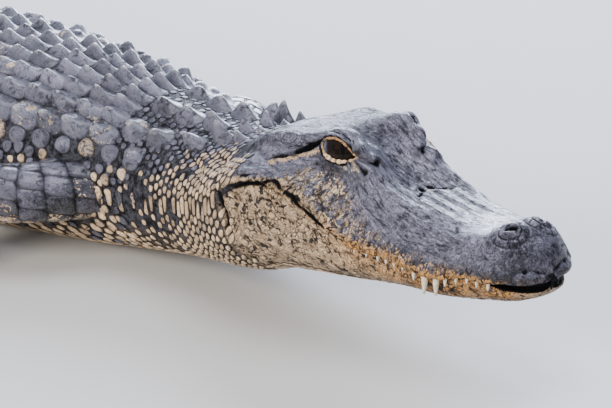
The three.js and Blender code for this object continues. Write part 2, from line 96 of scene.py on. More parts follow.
half_width = profile([
    (0, 0.03), (0.012, 0.07), (0.035, 0.1), (0.07, 0.126), (0.12, 0.143), (0.18, 0.151), (0.25, 0.172),
    (0.31, 0.186), (0.42, 0.187), (0.52, 0.199), (0.62, 0.22), (0.74, 0.252), (0.88, 0.283), (1.0, 0.298),
    (1.08, 0.288), (1.25, 0.25), (1.45, 0.247), (1.75, 0.295), (2.1, 0.365), (2.6, 0.435), (3.1, 0.425),
    (3.5, 0.36), (3.8, 0.31), (4.2, 0.255), (4.8, 0.195), (5.5, 0.132), (6.2, 0.08), (6.9, 0.038),
    (7.5, 0.012),
])
side_line = profile([
    (0, 0.282), (0.06, 0.29), (0.15, 0.298), (0.25, 0.28), (0.33, 0.284), (0.45, 0.294), (0.56, 0.299),
    (0.63, 0.325), (0.7, 0.36), (0.78, 0.415), (0.86, 0.426), (0.94, 0.404), (1.0, 0.38), (1.1, 0.32),
    (1.3, 0.265), (1.6, 0.225), (2.0, 0.19), (2.8, 0.175), (3.5, 0.185), (4.2, 0.185), (5.4, 0.13),
    (6.6, 0.07), (7.5, 0.022),
])
under_line = profile([
    (0, 0.246), (0.03, 0.224), (0.1, 0.202), (0.3, 0.174), (0.55, 0.152), (0.8, 0.12), (1.0, 0.098),
    (1.2, 0.068), (1.5, 0.028), (1.8, -0.012), (2.2, -0.03), (3.4, -0.03), (4.0, -0.016), (5.0, -0.01),
    (7.0, -0.006), (7.5, -0.002),
])
back_line = profile([
    (0, 0.33), (0.012, 0.358), (0.035, 0.392), (0.065, 0.417), (0.1, 0.426), (0.15, 0.417), (0.2, 0.407),
    (0.3, 0.404), (0.42, 0.418), (0.52, 0.438), (0.6, 0.465), (0.7, 0.505), (0.8, 0.523), (0.92, 0.523),
    (1.0, 0.511), (1.06, 0.485), (1.16, 0.452), (1.35, 0.44), (1.55, 0.456), (1.8, 0.48), (2.2, 0.492),
    (2.8, 0.488), (3.4, 0.472), (3.9, 0.45), (4.6, 0.39), (5.4, 0.31), (6.2, 0.222), (6.9, 0.13),
    (7.5, 0.04),
])
edge_line = line([
    (0, 0.012, 0.045), (0.012, 0.035, 0.07), (0.035, 0.055, 0.1), (0.07, 0.072, 0.128),
    (0.11, 0.082, 0.132), (0.18, 0.09, 0.118), (0.28, 0.103, 0.112), (0.4, 0.108, 0.132),
    (0.5, 0.112, 0.16), (0.58, 0.108, 0.2), (0.64, 0.1, 0.258), (0.7, 0.098, 0.285), (0.77, 0.11, 0.272),
    (0.85, 0.135, 0.256), (0.93, 0.148, 0.248), (0.985, 0.148, 0.226), (1.04, 0.14, 0.195),
    (HEAD_END, 0.13, 0.17),
])
steep_line = line([
    (0, 0.02, 0.034), (0.012, 0.052, 0.05), (0.035, 0.078, 0.072), (0.07, 0.104, 0.09),
    (0.12, 0.122, 0.092), (0.2, 0.132, 0.084), (0.3, 0.147, 0.082), (0.42, 0.153, 0.094),
    (0.54, 0.156, 0.116), (0.63, 0.158, 0.15), (0.7, 0.164, 0.178), (0.78, 0.168, 0.2),
    (0.87, 0.172, 0.208), (0.95, 0.18, 0.2), (1.02, 0.188, 0.172), (HEAD_END, 0.186, 0.138),
])
cheek_line = line([
    (0, 0.026, 0.018), (0.012, 0.066, 0.026), (0.035, 0.095, 0.036), (0.07, 0.12, 0.05),
    (0.14, 0.142, 0.052), (0.25, 0.163, 0.04), (0.33, 0.179, 0.044), (0.45, 0.182, 0.054),
    (0.56, 0.192, 0.066), (0.63, 0.206, 0.093), (0.7, 0.22, 0.126), (0.78, 0.238, 0.164),
    (0.87, 0.256, 0.175), (0.95, 0.268, 0.16), (1.02, 0.272, 0.135), (HEAD_END, 0.262, 0.1),
])
upper_square = profile([(1, 2), (1.6, 1.85), (2.4, 1.95), (4, 1.9), (5, 1.8), (7.5, 1.7)])
lower_square = profile([(0, 2.6), (0.6, 2.7), (1.1, 2.5), (1.6, 2.3), (4, 2.3), (7.5, 2.2)])

# The spine in plan, walked back from the tip of the snout
WALK_STEP = 0.005
walk = np.arange(-0.05, LENGTH + 0.1, WALK_STEP)
heading = np.radians(HEAD_TURN + sum(
    turn * smooth(walk, at - over / 2, at + over / 2) for at, over, turn in BENDS
))
walk_x = -np.concatenate([[0], np.cumsum(np.cos(heading[1:]) * np.diff(walk))])
walk_y = -np.concatenate([[0], np.cumsum(np.sin(heading[1:]) * np.diff(walk))])
walk_x -= np.interp(0, walk, walk_x)
walk_y -= np.interp(0, walk, walk_y)


def place(s, left, up):
    """Points in the frame, from stations, distances to the left of the spine and heights."""
    angle = np.interp(s, walk, heading)
    x = (np.interp(s, walk, walk_x) - np.sin(angle) * left) * HEAD + SNOUT[0]
    y = (np.interp(s, walk, walk_y) + np.cos(angle) * left) * HEAD + SNOUT[1]
    return np.stack([x, y, np.asarray(up) * HEAD + 0 * x], -1)


def along_spine(points):
    """Station, distance to the left and height of points in the frame."""
    flat = points.reshape(-1, 3)
    coarse, batch = slice(None, None, 8), 20000
    x = (flat[:, 0] - SNOUT[0]) / HEAD
    y = (flat[:, 1] - SNOUT[1]) / HEAD
    s = np.empty(len(flat))
    for start in range(0, len(flat), batch):
        part = slice(start, start + batch)
        apart = (x[part, None] - walk_x[None, coarse]) ** 2 + (y[part, None] - walk_y[None, coarse]) ** 2
        s[part] = walk[coarse][apart.argmin(1)]
    for _ in range(2):
        angle = np.interp(s, walk, heading)
        dx = x - np.interp(s, walk, walk_x)
        dy = y - np.interp(s, walk, walk_y)
        s = np.clip(s - (dx * np.cos(angle) + dy * np.sin(angle)), -0.04, LENGTH + 0.05)
    angle = np.interp(s, walk, heading)
    dx = x - np.interp(s, walk, walk_x)
    dy = y - np.interp(s, walk, walk_y)
    left = -dx * np.sin(angle) + dy * np.cos(angle)
    shape = points.shape[:-1]
    return s.reshape(shape), left.reshape(shape), (flat[:, 2] / HEAD).reshape(shape)


# Sections of one flank, closest on the head. Columns of the grid run from the middle of the back to the
# lip, through the groove behind it, and from the jaw to the middle of the belly. The upper part of a head
# section has four spans, between the middle, the three lines and the lip
SPANS = 4
SPAN_STEPS = 40
UPPER, GROOVE, LOWER = 76, 4, 36
COLUMNS = UPPER + GROOVE + LOWER + 1
ROWS = np.concatenate([
    np.arange(0, 1.1, 0.0044), np.arange(1.1, 1.7, 0.015), np.arange(1.7, LENGTH, 0.075), [LENGTH],
])
coat_depth = profile([(0, 0.001), (0.9, 0.001), (1.1, 0.004), (1.5, 0.006), (4.5, 0.006), (7.5, 0.002)])
mouth_open = 1 - smooth(ROWS, 0.94, 1.02)
BELLY_FLOOR = 0.004
LIP = 0.022
MOUND_HIGH = 0.016


def upper_flank(s):
    """Sections from the middle of the back to the lip, with a mound under each nostril."""
    edge, cheek, lip = edge_line(s), cheek_line(s), (half_width(s), side_line(s))
    knots = [(-edge[0], edge[1]), (0 * s, back_line(s)), edge, steep_line(s), cheek, lip]
    knots.append((cheek[0], 2 * lip[1] - cheek[1]))
    knots = np.array([np.stack(pair, -1) for pair in knots])
    head_share = (1 - smooth(s, 1.0, 1.2))[:, None]
    flank = []
    for turn in np.linspace(0, SPANS, SPANS * SPAN_STEPS + 1):
        i = min(int(turn), SPANS - 1)
        t = turn - i
        weights = [
            (2 * t * t - t - t**3) / 2, (2 - 5 * t * t + 3 * t**3) / 2,
            (t + 4 * t * t - 3 * t**3) / 2, (t**3 - t * t) / 2,
        ]
        head = sum(weight * knots[i + k] for k, weight in enumerate(weights))
        head[:, 1] += MOUND_HIGH * bell((s - 0.088) / 0.05) * bell((head[:, 0] - 0.036) / 0.032)
        angle = turn * math.pi / (2 * SPANS)
        power = 2 / upper_square(s)
        across = half_width(s) * abs(math.sin(angle)) ** power
        up = side_line(s) + (back_line(s) - side_line(s)) * abs(math.cos(angle)) ** power
        body = np.stack([across, up], -1)
        flank.append(body + (head - body) * head_share)
    return np.array(flank).transpose(1, 0, 2)


def lower_flank(s):
    """Sections from the jaw, which lies within the lip, to the middle of the belly."""
    inset = LIP * (1 - smooth(s, 0.9, 1.05))
    flank = []
    for turn in np.linspace(SPANS, 2 * SPANS, 3 * SPAN_STEPS + 1):
        angle = turn * math.pi / (2 * SPANS)
        power = 2 / lower_square(s)
        across = (half_width(s) - inset) * abs(math.sin(angle)) ** power
        up = side_line(s) - (side_line(s) - under_line(s) - inset) * abs(math.cos(angle)) ** power
        flank.append(np.stack([across, np.maximum(up, BELLY_FLOOR)], -1))
    return np.array(flank).transpose(1, 0, 2)


def even_steps(flank, first, steps):
    """Each flank's points at even distances, from `first` along it to its end, and its length."""
    out, girth = [], []
    for points, start in zip(flank, first):
        far = np.concatenate([[0], np.cumsum(np.linalg.norm(np.diff(points, axis=0), axis=1))])
        at = np.linspace(start, far[-1], steps + 1)
        out.append(np.stack([np.interp(at, far, points[:, 0]), np.interp(at, far, points[:, 1])], -1))
        girth.append(far[-1])
    return np.array(out), np.array(girth)


tuck = 0.03 * (1 - mouth_open)
upper, upper_girth = even_steps(upper_flank(ROWS), 0 * ROWS, UPPER)
lower, lower_girth = even_steps(lower_flank(ROWS), tuck, LOWER)
lower_reach = lower_girth - tuck

# Between lip and jaw the skin runs in under the lip to a dark groove and back out to the jaw. At the
# front of the mouth the jaw hangs a little lower than the lip
front_lift = 0.012 * (1 - smooth(ROWS, 0.05, 0.12))
upper[:, :, 1] += front_lift[:, None] * bell(np.linspace(3.2, 0, UPPER + 1))
front_gap = 0.009 * (1 - smooth(ROWS, 0.06, 0.13))
wide_gap = 0.002 + 0.006 * bell((ROWS - 0.82) / 0.08)
jaw_drop = (front_gap + wide_gap) * mouth_open
lower[:, :, 1] -= jaw_drop[:, None] * bell(np.linspace(0, 3.5, LOWER + 1))
lip_edge, jaw_edge = upper[:, -1], lower[:, 0]
share = (np.arange(1, GROOVE + 1) / (GROOVE + 1))[None, :, None]
smooth_run = lip_edge[:, None] * (1 - share) + jaw_edge[:, None] * share
inset = (LIP * (0.45 + 0.9 * (1 - smooth(ROWS, 0.06, 0.12))))[:, None] * np.array([1, 0])
raised = np.array([0, 0.006])
tucked = np.stack([
    lip_edge - 0.6 * inset, lip_edge - inset, jaw_edge - inset + raised, jaw_edge - 0.5 * inset,
], 1)
groove = smooth_run + (tucked - smooth_run) * mouth_open[:, None, None]
flank = np.concatenate([upper, groove, lower], 1)
inward = np.gradient(flank, axis=1)
inward = np.stack([inward[..., 1], -inward[..., 0]], -1)
inward /= np.maximum(np.linalg.norm(inward, axis=-1, keepdims=True), 1e-9)
flank += inward * coat_depth(ROWS)[:, None, None]
flank[..., 0] = np.maximum(flank[..., 0], 0.0015)
flank[:, [0, -1], 0] = 0
flank[..., 1] = np.maximum(flank[..., 1], BELLY_FLOOR)

# Both flanks, from the middle below over the right side, the back and the left side. Each column has its
# count from the middle of the back, and its distances from there and up from the lip
sheet = np.concatenate([flank[:, ::-1] * np.array([-1, 1]), flank[:, 1:]], 1)
grid_s = np.repeat(ROWS[:, None], sheet.shape[1], 1)
hide = place(grid_s, sheet[..., 0], sheet[..., 1])
signed = np.arange(sheet.shape[1]) - (COLUMNS - 1)
to_side = np.abs(signed)
from_back = np.minimum(to_side, UPPER) / UPPER * upper_girth[:, None]
over_lip = upper_girth[:, None] - from_back


def normals_of(points):
    """Outward directions of a grid of points."""
    normal = np.cross(np.gradient(points, axis=0), np.gradient(points, axis=1))
    normal /= np.maximum(np.linalg.norm(normal, axis=-1, keepdims=True), 1e-12)
    outward = ((points - points.mean(1)[:, None]) * normal).sum()
    return normal * np.sign(outward)


def to_path(where, path):
    """Distance from each place to a line through a few places."""
    best = np.full(where.shape[:-1], 9.0)
    path = np.array(path, float)
    for a, b in zip(path, path[1:]):
        t = np.clip(((where - a) @ (b - a)) / ((b - a) @ (b - a)), 0, 1)
        best = np.minimum(best, np.linalg.norm(where - (a + t[..., None] * (b - a)), axis=-1))
    return best


# Relief of the head, in [station, distance from the middle, height above the mouth] of either side
where = np.stack([grid_s, np.abs(sheet[..., 0]), sheet[..., 1] - RISE], -1)
EAR_PATH = [
    (0.75, 0.128, 0.258), (0.782, 0.143, 0.241), (0.815, 0.157, 0.221), (0.853, 0.184, 0.201),
    (0.892, 0.203, 0.194),
]
EAR_BAND = [
    (0.725, 0.137, 0.237), (0.765, 0.149, 0.225), (0.807, 0.167, 0.206), (0.843, 0.195, 0.194),
    (0.87, 0.218, 0.187),
]
MOUTH_FOLD = [
    (0.95, 0.28, 0.115), (0.9, 0.283, 0.14), (0.875, 0.281, 0.146), (0.8125, 0.262, 0.158),
    (0.78, 0.257, 0.146), (0.755, 0.2534, 0.13), (0.705, 0.241, 0.0956), (0.67, 0.232, 0.072),
    (0.6325, 0.223, 0.049), (0.59, 0.21, 0.03),
]
PITS = [(0.598, 0.079, 0.212), (0.59, 0.122, 0.198)]

# Folds and slits: the path, its half width, its depth and how much painted shade lies in it. They run from
# the ear's slit and the mouth's fold over cheek, jaw and neck to the creases and short slits of the snout
CREASES = [
    (EAR_PATH, 0.008, 0.022, 1.0),
    ([(0.892, 0.203, 0.194), (0.925, 0.2, 0.196), (0.955, 0.185, 0.207)], 0.008, 0.009, 0.4),
    (MOUTH_FOLD, 0.0055, 0.009, 0.9),
    ([(0.93, 0.28, 0.155), (0.88, 0.272, 0.172), (0.83, 0.26, 0.178), (0.79, 0.252, 0.168),
      (0.76, 0.25, 0.153)], 0.005, 0.005, 0.75),
    ([(0.735, 0.245, 0.128), (0.71, 0.238, 0.112), (0.69, 0.232, 0.098)], 0.006, 0.004, 0.6),
    ([(0.945, 0.287, 0.12), (0.9, 0.283, 0.135), (0.86, 0.272, 0.142)], 0.012, 0.006, 1.0),
    ([(0.935, 0.245, 0.17), (0.873, 0.235, 0.184), (0.823, 0.197, 0.192), (0.733, 0.163, 0.198),
      (0.66, 0.149, 0.186), (0.6, 0.141, 0.172)], 0.009, 0.007, 0.25),
    ([(1.042, 0.273, 0.123), (1.01, 0.298, 0.086), (0.99, 0.29, 0.031), (0.996, 0.265, -0.04)],
     0.009, 0.014, 0.75),
    ([(0.975, 0.284, 0.103), (0.955, 0.276, 0.067), (0.962, 0.266, 0.009), (0.95, 0.25, -0.06)],
     0.01, 0.01, 0.42),
    ([(0.94, 0.28, 0.1), (0.925, 0.27, 0.05), (0.935, 0.26, 0.0)], 0.005, 0.005, 0.35),
    ([(0.86, 0.247, 0.07), (0.8, 0.238, 0.05), (0.72, 0.225, 0.045), (0.67, 0.212, 0.035)],
     0.006, 0.006, 0.5),
    ([(0.9, 0.262, 0.1), (0.84, 0.252, 0.1), (0.78, 0.245, 0.09), (0.73, 0.232, 0.072)], 0.004, 0.004, 0.7),
    ([(1.38, 0.151, 0.115), (1.295, 0.182, 0.099), (1.167, 0.228, 0.09), (1.12, 0.24, 0.0)],
     0.016, 0.012, 0.5),
    ([(1.33, 0.14, 0.124), (1.22, 0.17, 0.13), (1.1, 0.2, 0.135), (1.06, 0.24, 0.12)], 0.013, 0.01, 0.6),
    ([(0.05, 0.094, 0.052), (0.02, 0.07, 0.047), (0.002, 0.02, 0.043)], 0.006, 0.008, 0.8),
    ([(0.56, 0.1, 0.2), (0.47, 0.085, 0.165), (0.38, 0.06, 0.142)], 0.01, 0.006, 0.3),
    ([(0.62, 0.0, 0.205), (0.54, 0.03, 0.18), (0.46, 0.05, 0.155)], 0.012, 0.007, 0.3),
    ([(0.54, 0.125, 0.165), (0.45, 0.115, 0.135), (0.36, 0.11, 0.12)], 0.009, 0.005, 0.25),
    ([(0.67, 0.155, 0.188), (0.62, 0.148, 0.182), (0.592, 0.136, 0.188)], 0.004, 0.004, 0.3),
    ([(0.57, 0.1, 0.205), (0.55, 0.112, 0.19), (0.535, 0.13, 0.165)], 0.005, 0.006, 0.22),
    ([(0.5, 0.012, 0.155), (0.488, 0.022, 0.15)], 0.006, 0.01, 1.0),
    ([(0.478, 0.03, 0.148), (0.47, 0.045, 0.146)], 0.004, 0.006, 1.0),
    ([(0.26, 0.088, 0.12), (0.25, 0.094, 0.116)], 0.005, 0.006, 1.0),
]

# Bulges, knobs and hollows: centre, reach along, across and up, and height
SWELLS = [
    ((0.87, 0.17, 0.222), (0.08, 0.035, 0.026), 0.011),
    ((0.92, 0.11, 0.245), (0.09, 0.06, 0.03), -0.006),
    ((0.64, 0.105, 0.25), (0.032, 0.022, 0.022), 0.009),
    ((0.66, 0.06, 0.285), (0.05, 0.04, 0.03), -0.008),
    ((0.608, 0.076, 0.22), (0.015, 0.017, 0.017), 0.016),
    ((0.588, 0.116, 0.197), (0.014, 0.016, 0.018), 0.014),
    ((0.555, 0.085, 0.2), (0.02, 0.012, 0.012), 0.008),
    ((0.78, 0.21, 0.13), (0.13, 0.05, 0.035), 0.008),
    ((0.81, 0.24, 0.1), (0.08, 0.05, 0.028), 0.016),
    ((0.28, 0.18, 0.03), (0.05, 0.04, 0.025), 0.008),
    ((0.1, 0.13, 0.04), (0.05, 0.04, 0.025), 0.006),
    ((0.022, 0.06, 0.03), (0.025, 0.035, 0.014), 0.009),
    ((0.5, 0.11, 0.15), (0.12, 0.014, 0.02), 0.007),
    ((0.33, 0.06, 0.13), (0.1, 0.012, 0.02), 0.005),
    ((0.4, 0.02, 0.14), (0.1, 0.012, 0.02), 0.004),
    ((0.9, 0.06, 0.245), (0.03, 0.03, 0.03), -0.005),
    ((0.74, 0.0, 0.23), (0.06, 0.04, 0.05), -0.009),
]
# Heights added to the skin, and painted shade in its folds, slits, pits and grooves, round the eyes and
# under the lip
relief = np.zeros(grid_s.shape)
shade_and_dark = np.zeros(grid_s.shape)
wandering = where + 0.003 * np.sin(where[..., [2, 0, 1]] * 95)
wandering += 0.0018 * np.sin(where[..., [1, 2, 0]] * 210)
for path, wide, deep, shade in CREASES:
    near = to_path(wandering, path) / wide
    relief -= deep * bell(near)
    shade_and_dark = np.maximum(shade_and_dark, shade * bell(near * 0.8))
for centre, radii, high in SWELLS:
    relief += high * np.exp(-(((where - np.array(centre)) / np.array(radii)) ** 2).sum(-1))
# Pits: hollows in front of the eyes, each with painted shade in it
PIT_DEEP = 0.012
for pit in PITS:
    near = np.linalg.norm(where - np.array(pit), axis=-1)
    relief -= PIT_DEEP * bell(near / 0.009)
    shade_and_dark = np.maximum(shade_and_dark, 0.7 * bell(near / 0.012))

# The lower rim of the ear fold stands out below its slit, a row of beads lies below the front of the eye,
# and rings of wrinkles lie on the bulge above the ear
RIM_HIGH = BEAD_HIGH = 0.006
BEAD_WIDE = 0.0068
BEADS = [
    (0.665, 0.142, 0.207), (0.652, 0.138, 0.202), (0.64, 0.135, 0.208), (0.628, 0.134, 0.199),
    (0.617, 0.13, 0.206), (0.606, 0.127, 0.198), (0.604, 0.121, 0.207),
]
RING_CENTRE, RING_APART, RING_HIGH = (0.875, 0.15, 0.243), 0.024, 0.003
relief += RIM_HIGH * bell(to_path(where, EAR_BAND) / 0.01)
beads = sum(bell(np.linalg.norm(where - np.array(spot), axis=-1) / BEAD_WIDE) for spot in BEADS)
relief += BEAD_HIGH * beads
ring = np.linalg.norm((where - np.array(RING_CENTRE)) / np.array([1, 0.8, 0.6]), axis=-1)
relief += RING_HIGH * np.cos(ring / RING_APART * 2 * math.pi) * bell(ring / 0.05)
# Painted shade over the front of the nose
shade_and_dark = np.maximum(shade_and_dark, 0.24 * bell((grid_s - 0.03) / 0.03))

# Nostrils: a slit in a disc on each mound, two grooves round it, and short grooves between them like spokes
NOSTRIL = (0.088, 0.056, 0.148)
NOSTRIL_SLIT = [(0.076, 0.046, 0.153), (0.096, 0.062, 0.15)]
SLIT_WIDE, SLIT_DEEP = 0.006, 0.022
INNER_GROOVE, OUTER_GROOVE, SPOKES = 0.032, 0.052, 8
slit = to_path(where, NOSTRIL_SLIT) / SLIT_WIDE
disc = (where - np.array(NOSTRIL)) / np.array([1, 1, 1.2])
far = np.linalg.norm(disc, axis=-1)
spokes = np.maximum(np.cos(np.arctan2(disc[..., 1], disc[..., 0]) * SPOKES), 0)
between = far - (INNER_GROOVE + OUTER_GROOVE) / 2
relief += 0.002 * bell(far / 0.024) - SLIT_DEEP * bell(slit)
relief -= 0.004 * bell((far - INNER_GROOVE) / 0.0045) + 0.003 * bell((far - OUTER_GROOVE) / 0.005)
relief -= 0.003 * bell(between / 0.009) * spokes**4
# Painted shade in the slit, the two grooves and the spokes
for shade in (
    bell(slit * 0.8), 0.6 * bell((far - INNER_GROOVE) / 0.0035), 0.5 * bell((far - OUTER_GROOVE) / 0.004),
    0.65 * bell(between / 0.008) * spokes**5,
):
    shade_and_dark = np.maximum(shade_and_dark, shade)

# The edge of the upper lip is a row of low lumps over the teeth, and the groove under it is smooth, with
# painted shade in it
LUMP_HIGH, LUMP_APART = 0.003, 0.034
lumps = 0.5 + 0.5 * np.cos(grid_s * 2 * math.pi / LUMP_APART)
relief += LUMP_HIGH * bell((over_lip - 0.01) / 0.012) * lumps * mouth_open[:, None]
in_groove = (to_side >= UPPER) & (to_side <= UPPER + GROOVE)
relief[:, in_groove] *= (1 - mouth_open)[:, None]
under_lip = (to_side > UPPER) & (to_side <= UPPER + GROOVE)
lip_shade = (mouth_open * (1 - 0.5 * smooth(ROWS, 0.58, 0.68)))[:, None]
shade_and_dark[:, under_lip] = np.maximum(shade_and_dark[:, under_lip], lip_shade)
relief[sheet[..., 1] < BELLY_FLOOR + 0.002] = 0
hide_normal = normals_of(hide)
hide += hide_normal * relief[..., None] * HEAD

# Eye sockets. The skin lies over each ball as lids and drops behind it within the opening, whose outline
# is in ball radii to the front and upwards, seen from the side it looks to
EYE_AT = (0.71, 0.1, RISE + 0.228)
EYE_RADIUS = 0.055
LID_THICK = 0.007
GAZE_TURN, GAZE_LIFT = 40, 19
MELD = 14  # power of the mean that rounds lid into skin
OPENING = [
    (-1.0, 0.38), (-0.78, 0.58), (-0.42, 0.6), (-0.08, 0.47), (0.17, 0.23), (0.41, -0.02), (0.76, -0.36),
    (0.6, -0.47), (0.28, -0.53), (-0.1, -0.55), (-0.5, -0.44), (-0.84, -0.16),
]


def gaze_frame(side):
    """Forward, upward and outward directions of an eye: where it looks, and its picture plane."""
    angle = np.interp(EYE_AT[0], walk, heading) + side * math.radians(GAZE_TURN)
    lift = math.radians(GAZE_LIFT)
    out = np.array([math.cos(angle) * math.cos(lift), math.sin(angle) * math.cos(lift), math.sin(lift)])
    front = side * np.cross(out, [0, 0, 1])
    front /= np.linalg.norm(front)
    up = side * np.cross(front, out)
    return front, up, out


def outline_distance(x, y, outline):
    """Distance outside a closed outline, negative inside."""
    best = np.full(x.shape, 9.0)
    inside = np.zeros(x.shape, bool)
    for (ax, ay), (bx, by) in zip(outline, outline[1:] + outline[:1]):
        ex, ey = bx - ax, by - ay
        t = np.clip(((x - ax) * ex + (y - ay) * ey) / (ex * ex + ey * ey), 0, 1)
        best = np.minimum(best, np.hypot(x - ax - t * ex, y - ay - t * ey))
        if ay != by:
            cross = (ay > y) != (by > y)
            inside ^= cross & (x < ax + (y - ay) * ex / ey)
    return np.where(inside, -best, best)


for side in (1, -1):
    middle = place(EYE_AT[0], side * EYE_AT[1], EYE_AT[2])
    front, up, out = gaze_frame(side)
    apart = hide - middle
    reach = np.linalg.norm(apart, axis=-1)
    near = (reach < 2.2 * EYE_RADIUS * HEAD) & (sheet[..., 0] * side > 0)
    direction = apart[near] / reach[near][:, None]
    beyond = outline_distance(direction @ front, direction @ up, OPENING)
    beyond = np.where(direction @ out > 0, beyond, 1.0)
    ahead_of = direction @ front
    # Painted shade in a crease just outside the opening, stronger above the eye, and at the opening's edge
    crease = bell((beyond - 0.25) / 0.045) * smooth(ahead_of, -1.0, -0.7)
    crease *= 1 - 0.85 * smooth(ahead_of, 0.45, 0.75)
    above_eye = smooth(direction @ up, -0.25, 0.3)
    close_by = 1 - smooth(reach[near] / (EYE_RADIUS * HEAD), 1.2, 1.5)
    shade = np.maximum((0.3 + 0.5 * above_eye) * crease, bell((beyond + 0.02) / 0.08))
    shade_and_dark[near] = np.maximum(shade_and_dark[near], shade * close_by)
    lid = (EYE_RADIUS + LID_THICK * (1 + 0.5 * bell((beyond - 0.12) / 0.1) - 0.7 * crease)) * HEAD
    over = (reach[near] ** MELD + lid**MELD) ** (1 / MELD)
    socket = smooth(-beyond, -0.02, 0.1)
    hide[near] = middle + direction * (over + (0.7 * EYE_RADIUS * HEAD - over) * socket)[:, None]
hide[..., 2] = np.maximum(hide[..., 2], BELLY_FLOOR * HEAD)
hide[:, 0] = hide[:, -1] = (hide[:, 0] + hide[:, -1]) / 2
hide_normal = normals_of(hide)

# Rounded ends: rows that draw in to a point before the snout and behind the tail. Each row of the nose is
# so far ahead of the last section, and drawn in to this share of it
NOSE_CAP = [(0.0035, 0.9), (0.0065, 0.7), (0.008, 0.4), (0.0085, 0.0)]
ahead = place(walk[0], 0, 0) - place(0, 0, 0)
ahead *= HEAD / np.linalg.norm(ahead)
first, last = hide[0], hide[-1]
caps = [first.mean(0) + (first - first.mean(0)) * grow + ahead * far for far, grow in NOSE_CAP[::-1]]
body_points = np.concatenate([caps, hide, [last * 0 + last.mean(0)]])


def shell(points, name):
    """A closed mesh over rows of points, whose outer columns meet and whose end rows are points."""
    rows, columns = points.shape[:2]
    made = bpy.data.meshes.new(name)
    bm = bmesh.new()
    bmesh.ops.create_grid(bm, x_segments=columns - 1, y_segments=rows - 1, size=1)
    bm.to_mesh(made)
    bm.free()
    made.vertices.foreach_set("co", points.reshape(-1).astype(np.float32))
    bm = bmesh.new()
    bm.from_mesh(made)
    bmesh.ops.remove_doubles(bm, verts=bm.verts, dist=2e-6)
    bm.normal_update()
    bmesh.ops.recalc_face_normals(bm, faces=bm.faces)
    if bm.calc_volume(signed=True) < 0:
        bmesh.ops.reverse_faces(bm, faces=bm.faces)
    bm.to_mesh(made)
    bm.free()
    return made


def put(name, mesh):
    """A thing of this mesh, in the scene."""
    thing = bpy.data.objects.new(name, mesh)
    bpy.context.scene.collection.objects.link(thing)
    return thing


def settled(thing):
    """The thing's mesh with its modifiers worked in."""
    scene_now = bpy.context.evaluated_depsgraph_get()
    scene_now.update()
    mesh = bpy.data.meshes.new_from_object(thing.evaluated_get(scene_now))
    thing.modifiers.clear()
    thing.data = mesh
    return mesh


skin = put("hide", shell(body_points, "hide"))

# Legs of the same skin: a tube of flesh down to the ankle, a palm, toes and, behind, webs, melted into one
# and joined to the trunk. Each has its side, its kind of foot and the degrees that the foot points outwards.
# Rows are the station, the distance out, the height, the half width and the half depth
LEGS = [
    ("foreleg_right", -1, "hand", 28, [
        (1.7, 0.14, 0.21, 0.13, 0.1), (1.76, 0.34, 0.21, 0.115, 0.082), (1.95, 0.52, 0.188, 0.09, 0.076),
        (1.93, 0.63, 0.11, 0.072, 0.062), (1.86, 0.7, 0.04, 0.054, 0.046),
    ]),
    ("foreleg_left", 1, "hand", 20, [
        (1.74, 0.14, 0.22, 0.13, 0.1), (1.8, 0.34, 0.2, 0.12, 0.085), (1.92, 0.5, 0.175, 0.09, 0.08),
        (1.92, 0.58, 0.11, 0.072, 0.062), (1.88, 0.65, 0.04, 0.054, 0.046),
    ]),
    ("hindleg_right", -1, "foot", 24, [
        (3.66, 0.16, 0.25, 0.14, 0.12), (3.52, 0.38, 0.25, 0.13, 0.11), (3.4, 0.54, 0.2, 0.1, 0.085),
        (3.53, 0.61, 0.12, 0.08, 0.07), (3.66, 0.65, 0.035, 0.06, 0.05),
    ]),
    ("hindleg_left", 1, "foot", 34, [
        (3.66, 0.16, 0.25, 0.14, 0.12), (3.6, 0.38, 0.25, 0.13, 0.11), (3.53, 0.54, 0.2, 0.1, 0.085),
        (3.68, 0.6, 0.12, 0.08, 0.07), (3.82, 0.63, 0.035, 0.06, 0.05),
    ]),
]

# Heel behind the ankle, palm before it, half its width, how far out the webs reach along the toes, and the
# toes: degrees outwards and length
FEET = {
    "hand": (0.03, 0.13, 0.066, 0, [(-44, 0.1), (-20, 0.13), (3, 0.14), (27, 0.12), (50, 0.09)]),
    "foot": (0.06, 0.19, 0.075, 0.62, [(-30, 0.15), (-9, 0.2), (12, 0.21), (34, 0.18)]),
}
ANKLE = 0.062
TOE_HALF, TOE_UP, TOE_TIP = 0.019, 0.016, 0.013
KNUCKLE = 0.86
WEB_UP, WEB_THICK = 0.006, 0.013

# How deep the scales stand on a leg, a palm and a toe
LEG_DEPTH, PALM_DEPTH, TOE_DEPTH = 0.004, 0.002, 0.001

# A claw's middle: how far past the toe, and how high
CLAWS = 3
CLAW_PATH = [(-0.012, 0.0165), (0.012, 0.02), (0.032, 0.0155), (0.05, 0.004)]


